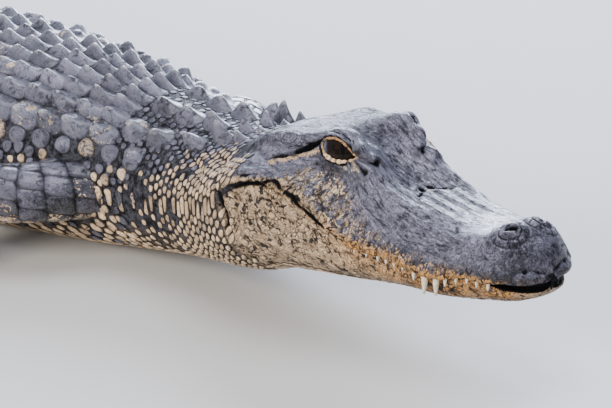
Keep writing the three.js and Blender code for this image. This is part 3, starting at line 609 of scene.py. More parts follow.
def tube(rows, side, steps, around, grow=0):
    """Rows of points round a path, from the top over the outside, with the first column repeated."""
    stops = [place(s, side * left, up) for s, left, up, _, _ in rows]
    stops = [2 * stops[0] - stops[1], *stops, 2 * stops[-1] - stops[-2]]
    sizes = [profile([(i, row[column]) for i, row in enumerate(rows)]) for column in (3, 4)]
    spots = np.linspace(0, len(rows) - 1, steps + 1)
    path = []
    for spot in spots:
        i = min(int(spot), len(rows) - 2)
        t = spot - i
        p0, p1, p2, p3 = stops[i:i + 4]
        d0, d1, d2 = (math.sqrt(np.linalg.norm(b - a)) for a, b in ((p0, p1), (p1, p2), (p2, p3)))
        m1 = ((p1 - p0) / d0 - (p2 - p0) / (d0 + d1) + (p2 - p1) / d1) * d1
        m2 = ((p2 - p1) / d1 - (p3 - p1) / (d1 + d2) + (p3 - p2) / d2) * d1
        path.append((2 * t**3 - 3 * t * t + 1) * p1 + (t**3 - 2 * t * t + t) * m1
                    + (3 * t * t - 2 * t**3) * p2 + (t**3 - t * t) * m2)
    path = np.array(path)
    tangent = np.gradient(path, axis=0)
    tangent /= np.linalg.norm(tangent, axis=1, keepdims=True)
    flat = np.cross(tangent, [0, 0, 1])
    flat /= np.linalg.norm(flat, axis=1, keepdims=True)
    deep = np.cross(flat, tangent)
    angle = np.linspace(0, 2 * math.pi, around + 1)[None, :, None]
    wide = (sizes[0](spots) + grow)[:, None, None] * HEAD
    high = (sizes[1](spots) + grow)[:, None, None] * HEAD
    points = path[:, None] + deep[:, None] * np.cos(angle) * high + flat[:, None] * np.sin(angle) * wide
    points[..., 2] = np.maximum(points[..., 2], BELLY_FLOOR * HEAD)
    return points


def ended(points):
    """The same rows with a point at each end."""
    ends = [points[0] * 0 + points[0].mean(0), points[-1] * 0 + points[-1].mean(0)]
    return np.concatenate([ends[:1], points, ends[1:]])


leg_charts = {}
toe_charts = {}
claw_places = []
leg_skins = []
for name, side, kind, points_out, rows in LEGS:
    heel, palm, half, web, toes = FEET[kind]
    station, left = rows[-1][:2]
    start = math.radians(points_out)

    def at(ahead, out, up):
        return (station - ahead * math.cos(start) + out * math.sin(start),
                left + ahead * math.sin(start) + out * math.cos(start), up)

    def on_toe(i, far, up):
        angle = math.radians(toes[i][0])
        out = half * 0.8 * (2 * i / (len(toes) - 1) - 1)
        return at(palm * KNUCKLE + far * math.cos(angle), out + far * math.sin(angle), up)

    leg_charts[name] = tube(rows, side, 48, 36, -LEG_DEPTH)
    parts = [leg_charts[name], tube([
        (*at(-heel, 0, ANKLE / 2), 0.035, ANKLE / 2), (*at(0, 0, ANKLE / 2), 0.05, ANKLE / 2),
        (*at(palm * 0.6, 0, 0.024), half * 0.9, 0.024), (*at(palm, 0, 0.016), half, 0.018),
    ], side, 16, 28, -PALM_DEPTH)]
    for i, (_, long) in enumerate(toes):
        chart = tube([
            (*on_toe(i, -0.02, TOE_UP + 0.006), TOE_HALF, TOE_HALF),
            (*on_toe(i, long * 0.3, TOE_UP + 0.003), TOE_HALF * 0.86, TOE_HALF * 0.95),
            (*on_toe(i, long * 0.55, TOE_UP + 0.002), TOE_HALF, TOE_HALF),
            (*on_toe(i, long * 0.82, TOE_UP), TOE_HALF * 0.72, TOE_HALF * 0.8),
            (*on_toe(i, long, TOE_UP), TOE_TIP * 0.8, TOE_TIP * 0.85),
        ], side, 20, 14, -TOE_DEPTH)
        toe_charts[name, i] = chart
        parts.append(chart)
        if i < CLAWS:
            claw_places.append((side, [on_toe(i, long + far, up) for far, up in CLAW_PATH]))
    bm = bmesh.new()
    for points in parts:
        bm.from_mesh(shell(ended(points), name))
    for i in range(len(toes) - 1 if web else 0):
        corners = []
        for k, share in ((i, -0.1), (i, web), (i + 1, web), (i + 1, -0.1)):
            s, out, up = on_toe(k, toes[k][1] * share, WEB_UP)
            corners.append(bm.verts.new(place(s, side * out, up)))
        raised = bmesh.ops.extrude_face_region(bm, geom=[bm.faces.new(corners)])["geom"]
        moved = [v for v in raised if isinstance(v, bmesh.types.BMVert)]
        bmesh.ops.translate(bm, verts=moved, vec=(0, 0, WEB_THICK * HEAD))
    bm.normal_update()
    bmesh.ops.recalc_face_normals(bm, faces=bm.faces)
    leg_mesh = bpy.data.meshes.new(name)
    bm.to_mesh(leg_mesh)
    bm.free()
    leg = put(name, leg_mesh)
    melt = leg.modifiers.new("melt", "REMESH")
    melt.mode = "VOXEL"
    melt.voxel_size = 0.0026
    soften = leg.modifiers.new("soften", "SMOOTH")
    soften.iterations = 4
    thin = leg.modifiers.new("thin", "DECIMATE")
    thin.ratio = 0.26
    settled(leg)
    leg_skins.append(leg)
    union = skin.modifiers.new(name, "BOOLEAN")
    union.operation = "UNION"
    union.solver = "MANIFOLD"
    union.object = leg
skin_mesh = settled(skin)
for leg in leg_skins:
    bpy.data.objects.remove(leg)

# Markings of the hide: cream below a soft line along the flank, tan towards the snout. Height of the cream
# over the widest line of the body, and how soft its upper edge is
pale_line = profile([
    (0, -0.01), (0.05, 0.012), (0.1, 0.03), (0.3, 0.035), (0.5, 0.05), (0.68, 0.085), (0.8, 0.06),
    (0.92, 0.03), (1.0, 0.07), (1.15, 0.12), (1.4, 0.05), (1.6, 0.0), (2.0, -0.05), (4.0, -0.07),
    (7.5, 0.0),
])
pale_soft = profile([(0, 0.02), (0.3, 0.03), (0.6, 0.06), (0.9, 0.05), (1.1, 0.08), (2, 0.06), (7.5, 0.03)])


def marks(points):
    """How cream and how tan the hide is at each point."""
    s, left, up = along_spine(points)
    over = up - side_line(s)
    cream = smooth(pale_line(s) - over, -pale_soft(s), pale_soft(s))
    tan = (1 - smooth(s, 0.25, 0.75)) * (0.35 + 0.65 * smooth(over, -0.09, 0.0)) * smooth(s, 0.02, 0.1)
    return cream, tan + 0.25


# The head's own marks: flecks up the side of the face as far as this height over the mouth's line, cream
# along the lips, the jaw and the fold below the ear, and a painted shadow on the jaw under the lip
fleck_top = profile([
    (0, 0.03), (0.06, 0.038), (0.147, 0.044), (0.245, 0.052), (0.35, 0.062), (0.45, 0.074), (0.54, 0.104),
    (0.6, 0.146), (0.645, 0.178), (0.7, 0.198), (0.77, 0.198), (0.82, 0.178), (0.88, 0.168), (0.95, 0.16),
    (1.1, 0.15),
])
from_jaw = np.maximum(to_side - UPPER - GROOVE, 0) / LOWER * lower_reach[:, None]
grid_round = np.sign(signed) * (from_back + from_jaw)
above_mouth, on_jaw = to_side <= UPPER, to_side > UPPER + GROOVE - 1
on_face = 1 - smooth(grid_s, 1.0, 1.12)
flecked = smooth(fleck_top(grid_s) - where[..., 2], -0.012, 0.022) * smooth(grid_s, 0.015, 0.06)
lip_band = bell(over_lip / (0.023 + 0.01 * smooth(grid_s, 0.25, 0.8)))
ear_band = bell(to_path(where, EAR_BAND) / 0.0115)
face = flecked * (0.41 + 0.09 * bell((grid_s - 0.72) / 0.14) + 0.23 * lip_band)
face = np.maximum(face, 0.72 * np.maximum(ear_band, beads))
chin = on_jaw * (0.61 + 0.05 * bell((grid_s - 0.8) / 0.2))
marked_cream, marked_tan = marks(hide)
body_cream = 0.7 * marked_cream * smooth(-hide_normal[..., 2], 0.0, 0.7)
face_tan = marked_tan * (1 - 0.6 * flecked * (1 - lip_band)) + 0.2 * ear_band
face_tan += 0.35 * lip_band * above_mouth * bell((grid_s - 0.55) / 0.25)
face_tan += 0.35 * (1 - smooth(grid_s, 0.35, 0.75)) * np.maximum(lip_band, ~above_mouth)
# Painted shadow along the top of the jaw, under the lip
shade_and_dark = np.maximum(shade_and_dark, 0.75 * on_jaw * bell(from_jaw / 0.006) * mouth_open[:, None])
side_flecks = 34 * grid_round + np.sign(signed) * np.exp(-over_lip / 0.035)
grids = {
    "cream": np.where(above_mouth, face, chin) * on_face + body_cream * (1 - on_face),
    "tan": face_tan,
    # painted shade in folds, slits, pits and grooves, round the eyes and under the lip
    "shade_and_dark": shade_and_dark * (0.8 + 0.2 * on_face),
    "seam": smooth(grid_s, 0.965, 1.03) * (1 - 0.3 * (to_side > COLUMNS - 16)),
    # a duller coat, and painted shade, where the skull faces up
    "dull_and_shaded": bell((grid_s - 0.87) / 0.15) * smooth(hide_normal[..., 2], 0.6, 0.95),
    "along": grid_s,
    "around": grid_round,
    "cells": on_face * np.where(above_mouth, np.clip(flecked * 0.75 + 0.5 * lip_band, 0, 1), 0.95),
    "streaky": on_face * (1 - flecked) * above_mouth
               * (1 - smooth(grid_s, 0.86, 0.98)) * smooth(grid_s, 0.12, 0.25),
    "fleck_along": np.where(above_mouth, 78, 70) * grid_s + 10 * grid_round,
    "fleck_around": np.where(above_mouth, side_flecks, 62 * grid_round),
    "ring": ring,
    # painted sheen: the paler slate where the hide faces up
    "painted_sheen": smooth(hide_normal[..., 2], 0.05, 0.85),
}

# The skin takes these marks from the nearest point of the grid. The legs aren't on it: their marks follow
# from how far each point faces down
LEG_FLECKS = 75
tree_of_points = KDTree(hide.shape[0] * hide.shape[1])
for index, point in enumerate(hide.reshape(-1, 3)):
    tree_of_points.insert(point, index)
tree_of_points.balance()
skin_points = np.array([vert.co for vert in skin_mesh.vertices], float)
nearest = np.array([tree_of_points.find(point)[1] for point in skin_points])
s, left, up = along_spine(skin_points)
limb = (np.abs(left) > half_width(s) * 1.02) & (s > 1.2)
facing_down = smooth(-np.array([vert.normal.z for vert in skin_mesh.vertices]), 0.0, 0.6)
limb_marks = {
    "cream": 0.7 * facing_down,
    "fleck_along": LEG_FLECKS * skin_points[:, 0] / HEAD,
    "fleck_around": LEG_FLECKS * (skin_points[:, 1] + skin_points[:, 2]) / HEAD,
}


def paint(mesh, marks_of):
    """Named values at each point of a mesh, which its material reads."""
    for key, value in marks_of.items():
        painting = mesh.attributes.new(key, "FLOAT", "POINT")
        painting.data.foreach_set("value", value.reshape(-1).astype(np.float32))


skin_marks = {key: grid.reshape(-1)[nearest] for key, grid in grids.items()}
skin_marks.update({key: np.where(limb, value, skin_marks[key]) for key, value in limb_marks.items()})
paint(skin_mesh, skin_marks)

# Mottling, shared by skin, scales and lids: slate hide that breaks up into cream and tan. How far it has
# turned pale comes from the marks on each mesh, and the blotches from noise in the hide itself
SLATE_DEEP = (0.011, 0.0115, 0.015), (0.12, 0.116, 0.158)
# SLATE_PAINTED_SHEEN is a painted sheen: the paler, bluer slate that surfaces facing up are blended towards
SLATE_PAINTED_SHEEN = (0.045, 0.046, 0.064), (0.22, 0.218, 0.295)
CREAM, TAN = (0.92, 0.72, 0.5), (0.74, 0.37, 0.11)


def feed(tree, value, socket):
    """A number or a colour is set on the socket, and a node's output is wired to it."""
    if isinstance(value, (int, float)):
        socket.default_value = value
    elif isinstance(value, tuple):
        socket.default_value = (*value, 1)
    else:
        tree.links.new(value, socket)


def node(tree, kind, sockets=(), **settings):
    """A node with these settings and values on these of its sockets."""
    made = tree.nodes.new("ShaderNode" + kind)
    for key, value in settings.items():
        setattr(made, key, value)
    for key, value in dict(sockets).items():
        feed(tree, value, made.inputs[key])
    return made


def maths(tree, operation, *values, clamp=False):
    made = node(tree, "Math", operation=operation, use_clamp=clamp)
    for value, socket in zip(values, made.inputs):
        feed(tree, value, socket)
    return made.outputs[0]


def times(tree, a, b):
    return maths(tree, "MULTIPLY", a, b)


def plus(tree, a, b):
    return maths(tree, "ADD", a, b)


def less(tree, a, b):
    return maths(tree, "SUBTRACT", a, b)


def larger(tree, a, b):
    return maths(tree, "MAXIMUM", a, b)


def ramp(tree, value, low, high, out_low=0.0, out_high=1.0):
    """A value spread smoothly from its low and high to another pair."""
    sockets = {"Value": value, "From Min": low, "From Max": high, "To Min": out_low, "To Max": out_high}
    return node(tree, "MapRange", sockets, interpolation_type="SMOOTHSTEP").outputs["Result"]


def blend(tree, share, a, b):
    sockets = {"Factor": share, "A": a, "B": b}
    return node(tree, "Mix", sockets, data_type="RGBA", blend_type="MIX").outputs["Result"]


def noise(tree, coords, scale, detail=2.0, rough=0.5, distortion=0.0):
    return node(tree, "TexNoise", {
        "Vector": coords, "Scale": scale, "Detail": detail, "Roughness": rough, "Distortion": distortion,
    }).outputs["Fac"]


mottle = bpy.data.node_groups.new("Mottle", "ShaderNodeTree")
for name, way, kind in (
    ("Cream", "INPUT", "Float"), ("Tan", "INPUT", "Float"), ("Blotch", "INPUT", "Float"),
    ("Painted Sheen", "INPUT", "Float"), ("Place", "INPUT", "Vector"),
    ("Colour", "OUTPUT", "Color"), ("Pale", "OUTPUT", "Float"), ("Grain", "OUTPUT", "Float"),
):
    mottle.interface.new_socket(name, in_out=way, socket_type="NodeSocket" + kind)
given = mottle.nodes.new("NodeGroupInput").outputs
taken = mottle.nodes.new("NodeGroupOutput").inputs
coords = node(mottle, "TexCoord").outputs["Object"]
blotch = noise(mottle, given["Place"], given["Blotch"], 2.5, distortion=1.3)
fine = noise(mottle, coords, 520, 2)
broad = noise(mottle, coords, 16, 4, 0.65)
ragged = plus(mottle, times(mottle, blotch, 0.8), times(mottle, fine, 0.2))
pale = ramp(mottle, plus(mottle, ragged, less(mottle, given["Cream"], 0.5)), 0.475, 0.525)
uneven = plus(mottle, times(mottle, broad, 0.65), times(mottle, fine, 0.35))
deep_slate = blend(mottle, ramp(mottle, uneven, 0.38, 0.62), *SLATE_DEEP)
painted_sheen_slate = blend(mottle, ramp(mottle, uneven, 0.36, 0.62), *SLATE_PAINTED_SHEEN)
# Painted sheen: the slate is blended towards the paler one where the surface faces up
slate = blend(mottle, given["Painted Sheen"], deep_slate, painted_sheen_slate)
tan = maths(mottle, "MULTIPLY", given["Tan"], ramp(mottle, broad, 0.3, 0.7, 0.6, 1.1), clamp=True)
light = blend(mottle, tan, CREAM, TAN)
light = blend(mottle, ramp(mottle, fine, 0.35, 0.7, 0.65, 1.05), (0.05, 0.035, 0.02), light)
for value, name in ((blend(mottle, pale, slate, light), "Colour"), (pale, "Pale"), (fine, "Grain")):
    feed(mottle, value, taken[name])


def material(name, sockets):
    """A material of one shader, its node tree and the shader's sockets."""
    made = bpy.data.materials.new(name)
    made.use_nodes = True
    shader = made.node_tree.nodes["Principled BSDF"].inputs
    for key, value in sockets.items():
        feed(made.node_tree, value, shader[key])
    return made, made.node_tree, shader


def painted(tree, name):
    return node(tree, "Attribute", attribute_name=name).outputs["Fac"]


def mottled(tree, blotch, painted_sheen, place_at):
    """The mottling, from the cream and the tan that are painted on the mesh."""
    return node(tree, "Group", {
        "Cream": painted(tree, "cream"), "Tan": painted(tree, "tan"), "Blotch": blotch, "Painted Sheen": painted_sheen,
        "Place": place_at,
    }, node_tree=mottle).outputs


def bumped(tree, height, distance, under=None):
    """A normal that follows a height, on top of another one."""
    sockets = {"Height": height, "Distance": distance}
    if under is not None:
        sockets["Normal"] = under
    return node(tree, "Bump", sockets).outputs["Normal"]


# The skin itself: wrinkles that run lengthwise over the top of the head, a crackle of cells on cheek and
# jaw, rings round the bulge above the ear, and black hide between the scales, all under a thin wet coat
CELL_SCALE, PEBBLE_SCALE = 150, 260
skin_material, tree, shader = material("hide", {"Coat Roughness": 0.27, "Specular IOR Level": 0.12})
coords = node(tree, "TexCoord").outputs["Object"]
celled, streaky, seam = (painted(tree, name) for name in ("cells", "streaky", "seam"))
dull_and_shaded, painted_sheen, ring = (painted(tree, name) for name in ("dull_and_shaded", "painted_sheen", "ring"))
fleck_at = node(tree, "CombineXYZ", {"X": painted(tree, "fleck_along"), "Y": painted(tree, "fleck_around")})
flow = node(tree, "CombineXYZ", {
    "X": times(tree, painted(tree, "along"), 34), "Y": times(tree, painted(tree, "around"), 110),
})
mottling = mottled(tree, 1, painted_sheen, fleck_at.outputs["Vector"])
colour, pale = mottling["Colour"], mottling["Pale"]
wrinkle = noise(tree, coords, 135, 6, 0.68, 0.6)
lumps = noise(tree, coords, 42, 3, 0.5, 0.3)
streaks = noise(tree, flow.outputs["Vector"], 1, 5, 0.62, 0.9)
worked = blend(tree, streaky, wrinkle, streaks)

# Cells and finer pebbles, with wandering edges: how far each point is from an edge
warp = node(tree, "TexNoise", {"Vector": coords, "Scale": 90}).outputs["Color"]
sockets = {"Factor": 0.006, "A": coords, "B": warp}
bent = node(tree, "Mix", sockets, data_type="RGBA", blend_type="LINEAR_LIGHT")
cells, pebbles = (
    node(tree, "TexVoronoi", {"Vector": bent.outputs["Result"], "Scale": scale}, feature="DISTANCE_TO_EDGE")
    for scale in (CELL_SCALE, PEBBLE_SCALE)
)
tile = node(tree, "TexVoronoi", {"Vector": bent.outputs["Result"], "Scale": CELL_SCALE}).outputs["Color"]
net = ramp(tree, pebbles.outputs["Distance"], 0.0, 0.12, 1.0, 0.0)
crack = times(tree, ramp(tree, cells.outputs["Distance"], 0.0, 0.13, 1.0, 0.0),
              times(tree, celled, ramp(tree, lumps, 0.4, 0.55)))

# Colour, one layer over the other: brown cells, dark spots, a paler tone over the streaks, a painted sheen
# on their ridges where they face up, painted shade on the skull where it faces up, painted shade in
# crevices, black cracks, bare hide between scales, painted shade in folds and slits, and painted shade in
# the rings
# painted shade in the low parts of the wrinkles and between the pebbles
crevice_shade = larger(tree, ramp(tree, worked, 0.36, 0.5, 0.85, 0.0), times(tree, net, 0.4))
ridge_sheen = times(tree, ramp(tree, worked, 0.5, 0.66, 0.0, 0.7), less(tree, 1.0, pale))
spots = ramp(tree, noise(tree, coords, 150, 2, 0.5, 0.8), 0.58, 0.62)
bare = blend(tree, ramp(tree, wrinkle, 0.4, 0.62), (0.008, 0.008, 0.01), (0.065, 0.066, 0.08))
shade = plus(tree, painted(tree, "shade_and_dark"), times(tree, less(tree, wrinkle, 0.5), 0.7))
# painted shade in fine rings round the bulge above the ear
ring_shade = maths(tree, "SINE", times(tree, plus(tree, ring, times(tree, lumps, 0.03)), 820))
ring_shade = times(tree, ring_shade, ramp(tree, ring, 0.045, 0.09, 1.0, 0.0))
for share, over in (
    (times(tree, ramp(tree, tile, 0.35, 0.75, 0.0, 0.5), celled), (0.3, 0.2, 0.12)),
    (times(tree, spots, celled), (0.02, 0.021, 0.027)),
    (times(tree, streaky, 0.17), (0.36, 0.37, 0.47)),
    (times(tree, ridge_sheen, painted_sheen), (0.42, 0.43, 0.55)),
    (times(tree, dull_and_shaded, 0.35), (0.04, 0.041, 0.055)),
    (crevice_shade, (0.012, 0.012, 0.014)),
    (times(tree, crack, 0.95), (0.016, 0.012, 0.01)),
    (times(tree, seam, 0.94), bare),
    (ramp(tree, shade, 0.25, 0.6), (0.006, 0.006, 0.007)),
    (ramp(tree, ring_shade, 0.1, 1.0, 0.0, 0.75), (0.02, 0.02, 0.026)),
):
    colour = blend(tree, share, colour, over)

# The wet coat is thinner in crevices, in folds, on cream and on the skull
sunk = larger(tree, ramp(tree, shade, 0.2, 0.5), times(tree, seam, 0.85))
dry = larger(tree, ramp(tree, worked, 0.38, 0.58, 0.95, 0.1), times(tree, net, 0.8))
wet = times(tree, less(tree, 1.0, dry), less(tree, 1.0, sunk))
wet = times(tree, wet, ramp(tree, dull_and_shaded, 0.0, 1.0, 1.0, 0.4))
relief_normal = None
for height, distance in ((worked, 0.006), (crack, -0.0008), (net, -0.0006), (lumps, 0.006)):
    relief_normal = bumped(tree, height, distance, relief_normal)
for value, key in (
    (colour, "Base Color"), (ramp(tree, wrinkle, 0.3, 0.7, 0.6, 0.4), "Roughness"),
    (times(tree, wet, ramp(tree, pale, 0.0, 1.0, 1.0, 0.35)), "Coat Weight"), (relief_normal, "Normal"),
):
    feed(tree, value, shader[key])

skin_mesh.materials.clear()
skin_mesh.materials.append(skin_material)
skin_mesh.shade_smooth()
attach(skin, "root")
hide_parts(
    "neck", "chest", "belly", "pelvis", "tail_base", "tail_middle", "tail_tip", "jaw_lower",
    "head_upper", "ear_left", "ear_right",
    *[f"{leg}_{part}" for leg, *_ in LEGS for part in ("upper", "lower", "foot")],
)

# Scutes of the back: plates of bone under horn in cross rows, five lanes a side, each with a keel that
# climbs to the rear and is worn pale. Pointed ones stand on the nape. As every scale here, one plate is
# drawn once, repeated, and bent to the skin, with its rim sunk into it
SCUTES_FROM, SCUTE_ROWS, SCUTE_LONG, SCUTE_EDGE = 1.6, 24, 0.1, 0.8
LANES = 5
SCALE_MOTTLE = 120
BACK_WIDE = 2.4  # the widest girth, for the unfolded skin
FLOOR_GAP = 0.0003
NAPE = [
    (1.14, 0.105, 0.055, 0.036, 0.036), (1.13, 0.04, 0.04, 0.03, 0.018), (1.2, 0.036, 0.065, 0.042, 0.042),
    (1.215, 0.102, 0.085, 0.052, 0.066), (1.31, 0.132, 0.09, 0.055, 0.062), (1.32, 0.05, 0.1, 0.065, 0.046),
    (1.43, 0.055, 0.105, 0.08, 0.036), (1.45, 0.15, 0.1, 0.075, 0.03), (1.53, 0.06, 0.1, 0.08, 0.032),
    (1.55, 0.16, 0.1, 0.08, 0.028), (1.5, 0.21, 0.075, 0.06, 0.02),
]
rng = np.random.default_rng(7)

# The scales' colour: mottling, a painted sheen where they face up, a random tone, painted shade low on each
# scale and in its wrinkles, pale wear on the keels, and dark rims
scale_material, tree, shader = material("scales", {"Coat Roughness": 0.24, "Specular IOR Level": 0.12})
coords = node(tree, "TexCoord").outputs["Object"]
painted_sheen, crest, rim = (painted(tree, name) for name in ("painted_sheen", "crest", "rim"))
mottling = mottled(tree, SCALE_MOTTLE, painted_sheen, coords)
colour, pale = mottling["Colour"], mottling["Pale"]
wrinkle = noise(tree, coords, 110, 6, 0.7, 0.9)
worn_keel = times(tree, ramp(tree, crest, 0.66, 1.0, 0.0, 0.9), ramp(tree, wrinkle, 0.42, 0.6))
for share, over in (
    (times(tree, painted_sheen, 0.2), (0.42, 0.45, 0.58)),
    (ramp(tree, painted(tree, "tone"), 0.0, 1.0, 0.5, 0.0), (0.02, 0.02, 0.024)),
    # painted shade low on each scale, near its rim
    (ramp(tree, crest, 0.05, 0.5, 0.35, 0.0), (0.03, 0.03, 0.04)),
    (worn_keel, (0.4, 0.39, 0.4)),
    # painted shade in the wrinkles
    (ramp(tree, wrinkle, 0.34, 0.5, 0.75, 0.0), (0.014, 0.014, 0.016)),
    (ramp(tree, rim, 0.76, 1.0, 0.0, 0.9), (0.012, 0.012, 0.013)),
):
    colour = blend(tree, share, colour, over)
sunk = larger(tree, ramp(tree, wrinkle, 0.34, 0.5, 1.0, 0.0), ramp(tree, rim, 0.76, 1.0))
wet = times(tree, less(tree, 1.0, sunk), ramp(tree, pale, 0.0, 1.0, 1.0, 0.35))
for value, key in (
    (colour, "Base Color"), (ramp(tree, wrinkle, 0.3, 0.7, 0.6, 0.4), "Roughness"),
    (times(tree, wet, painted(tree, "wet")), "Coat Weight"), (bumped(tree, wrinkle, 0.0035), "Normal"),
):
    feed(tree, value, shader[key])


def read_grid(grid, row, column):
    """Values of a grid between its rows and columns."""
    row = np.clip(row, 0, grid.shape[0] - 1.001)
    column = np.clip(column, 0, grid.shape[1] - 1.001)
    i, j = row.astype(int), column.astype(int)
    u, v = (row - i)[..., None], (column - j)[..., None]
    low = grid[i, j] * (1 - v) + grid[i, j + 1] * v
    high = grid[i + 1, j] * (1 - v) + grid[i + 1, j + 1] * v
    return low * (1 - u) + high * u


def girths(s):
    """Distance round a flank from the back to the lip's line, and from there to the middle of the belly."""
    return np.interp(s, ROWS, upper_girth), np.interp(s, ROWS, lower_reach)


def on_hide(s, b):
    """Points and normals of the skin at a station and a signed distance round from the back."""
    above, below = girths(s)
    side = np.sign(b) + (b == 0)
    far = np.abs(b)
    past = far > above + below
    side = np.where(past, -side, side)
    far = np.where(past, 2 * (above + below) - far, far)
    column = np.where(far < above, far / above * UPPER, UPPER + GROOVE + (far - above) / below * LOWER)
    row = np.interp(s, ROWS, np.arange(len(ROWS)))
    column = COLUMNS - 1 + side * column
    return read_grid(hide, row, column), read_grid(hide_normal, row, column)


def arc_of(s, across):
    """Distance round from the middle of the back to a distance from the middle plane."""
    row = int(np.abs(ROWS - s).argmin())
    run = np.linspace(0, upper_girth[row], UPPER + 1)
    return float(np.interp(across, upper[row, :, 0], run))


def scute_edge(s):
    """Distance round from the middle of the back to the outer edge of the scutes."""
    return arc_of(s, float(half_width(s)) * SCUTE_EDGE)


def scale_shape(across, around, square, top):
    """One scale: a grid drawn to a rounded outline and raised by `top`, with a rim that drops to -1."""
    bm = bmesh.new()
    bmesh.ops.create_grid(bm, x_segments=across, y_segments=around, size=1)
    for vert in bm.verts:
        x, y = vert.co.x, vert.co.y
        far = max(abs(x), abs(y))
        long = math.hypot(x, y)
        if long > 0:
            c, s = abs(x) / long, abs(y) / long
            reach = far * (c**square + s**square) ** (-1 / square)
            x, y = x / long * reach, y / long * reach
        vert.co = (x, y, top(far, x, y))
    rim = bmesh.ops.extrude_edge_only(bm, edges=[e for e in bm.edges if e.is_boundary])["geom"]
    for vert in rim:
        if isinstance(vert, bmesh.types.BMVert):
            vert.co.z = -1
    bmesh.ops.holes_fill(bm, edges=[e for e in bm.edges if e.is_boundary], sides=0)
    bmesh.ops.recalc_face_normals(bm, faces=bm.faces)
    mesh = bpy.data.meshes.new("scale")
    bm.to_mesh(mesh)
    bm.free()
    return mesh


def keel_top(sharp, thick, peak=0.3, steep=1.6):
    """A plate with a keel along it that climbs to a peak behind its middle and falls off to the rear."""
    def top(far, x, y):
        if x < peak:
            rise = max((x + 1.0) / (1 + peak), 0) ** steep
        else:
            rise = max(1 - ((x - peak) / (1.02 - peak)) ** 2, 0.0)
        ridge = (math.cos(min(abs(y), 1) * math.pi / 2)) ** sharp
        return thick * (1 - 0.75 * far**4) + (1 - thick) * rise * ridge
    return top


def coat(name, shape, on, seeds, depth=0.005, chart_size=(LENGTH, BACK_WIDE), box=(0, 0, 1, 1), twist=0.0,
         ragged=0.0, rimmed=1.0, wear_and_shade=0.6, sheen=1.0, wet=1.0):
    """Many scales as one joined mesh. Seeds are rows of [along, round, long, wide, high, cream]."""
    seeds = np.array(seeds, float)
    along, around, long, wide, tall, cream = (seeds[:, k:k + 1] for k in range(6))
    x, y, z = np.array([v.co for v in shape.vertices]).T
    count, size = len(seeds), len(x)
    thing = put(name, shape)
    thing.modifiers.new("many", "ARRAY").count = count
    mesh = settled(thing)

    # Each scale turned, its outline made uneven, and laid on the skin or leg
    turned = rng.normal(0, twist, (count, 1))
    bulge = 1 + ragged * np.sin(np.arctan2(y, x)[None] * 3 + rng.random((count, 1)) * 6.28)
    x_out, y_out = x * long / 2, y * wide / 2
    points, normal = on(along + (x_out * np.cos(turned) - y_out * np.sin(turned)) * bulge,
                        around + (y_out * np.cos(turned) + x_out * np.sin(turned)) * bulge)
    root, root_normal = on(along, around)
    lean = normal + root_normal
    lean /= np.linalg.norm(lean, axis=-1, keepdims=True)
    points = points + lean * (np.where(z > 0, z * tall, z * depth) * HEAD)[..., None]
    points[..., 2] = np.maximum(points[..., 2], FLOOR_GAP)
    mesh.vertices.foreach_set("co", points.reshape(-1).astype(np.float32))
    mesh.flip_normals()
    tan = marks(root)[1]
    tone = rng.random((count, 1))
    each = np.ones((count, size))
    paint(mesh, {
        "cream": cream * each, "tan": tan * each, "tone": tone * each, "wet": wet * each,
        "rim": np.clip(np.hypot(x, y), 0, 1) * rimmed * each,
        # painted sheen: paler where the scale's root faces up, in the share given by `sheen`
        "painted_sheen": smooth(root_normal[..., 2], 0.0, 0.85) * sheen * each,
        # height on the scale, for pale wear on the keel and painted shade low on the scale
        "crest": np.maximum(z, 0) * wear_and_shade * each,
    })

    # The unfolded skin, for the export: each scale at its place along and round
    u = box[0] + (box[2] - box[0]) * (0.01 + 0.98 * along / chart_size[0]) + x * 0.0015
    v = box[1] + (box[3] - box[1]) * (0.5 + 0.98 * around / chart_size[1]) + y * 0.0015
    corner = np.zeros(len(mesh.loops), int)
    mesh.loops.foreach_get("vertex_index", corner)
    unfolded = np.stack([u.reshape(-1)[corner], v.reshape(-1)[corner]], -1)
    mesh.uv_layers.new(name="OFBake").data.foreach_set("uv", unfolded.reshape(-1).astype(np.float32))
    mesh.materials.clear()
    mesh.materials.append(scale_material)
    mesh.shade_smooth()
    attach(thing, "root")
    return thing


seeds = []
for n in range(SCUTE_ROWS):
    s = SCUTES_FROM + (n + 0.5) * SCUTE_LONG
    lane = float(half_width(s)) * SCUTE_EDGE / LANES
    for k in range(LANES):
        inner, outer = arc_of(s, lane * k), arc_of(s, lane * (k + 1))
        for side in (1, -1):
            jitter = rng.normal(0, 1, 3)
            cream = 0.12 + 0.28 * (jitter[2] > 1.1 - 0.25 * k)
            along = s + 0.007 * jitter[0]
            around = side * ((inner + outer) / 2 + 0.003 * jitter[1])
            high = 0.033 * (1 + 0.16 * jitter[1])
            seeds.append((along, around, SCUTE_LONG * 1.12, (outer - inner) * 1.1, high, cream))
back_plate = scale_shape(10, 9, 3.4, keel_top(3.4, 0.13))
coat("back_scutes", back_plate, on_hide, seeds, 0.008, ragged=0.03, rimmed=0.87, wear_and_shade=1.0)
seeds = []
for s, across, long, wide, high in NAPE:
    for side in (1, -1):
        seeds.append((s, side * arc_of(s, across), long, wide, high, 0.16 + 0.2 * (high < 0.03)))
nape_plate = scale_shape(12, 10, 2.3, keel_top(2.6, 0.1, 0.2, 1.3))
coat("nape_scutes", nape_plate, on_hide, seeds, 0.008, twist=0.08, rimmed=0.85, wear_and_shade=1.0, sheen=0.7)

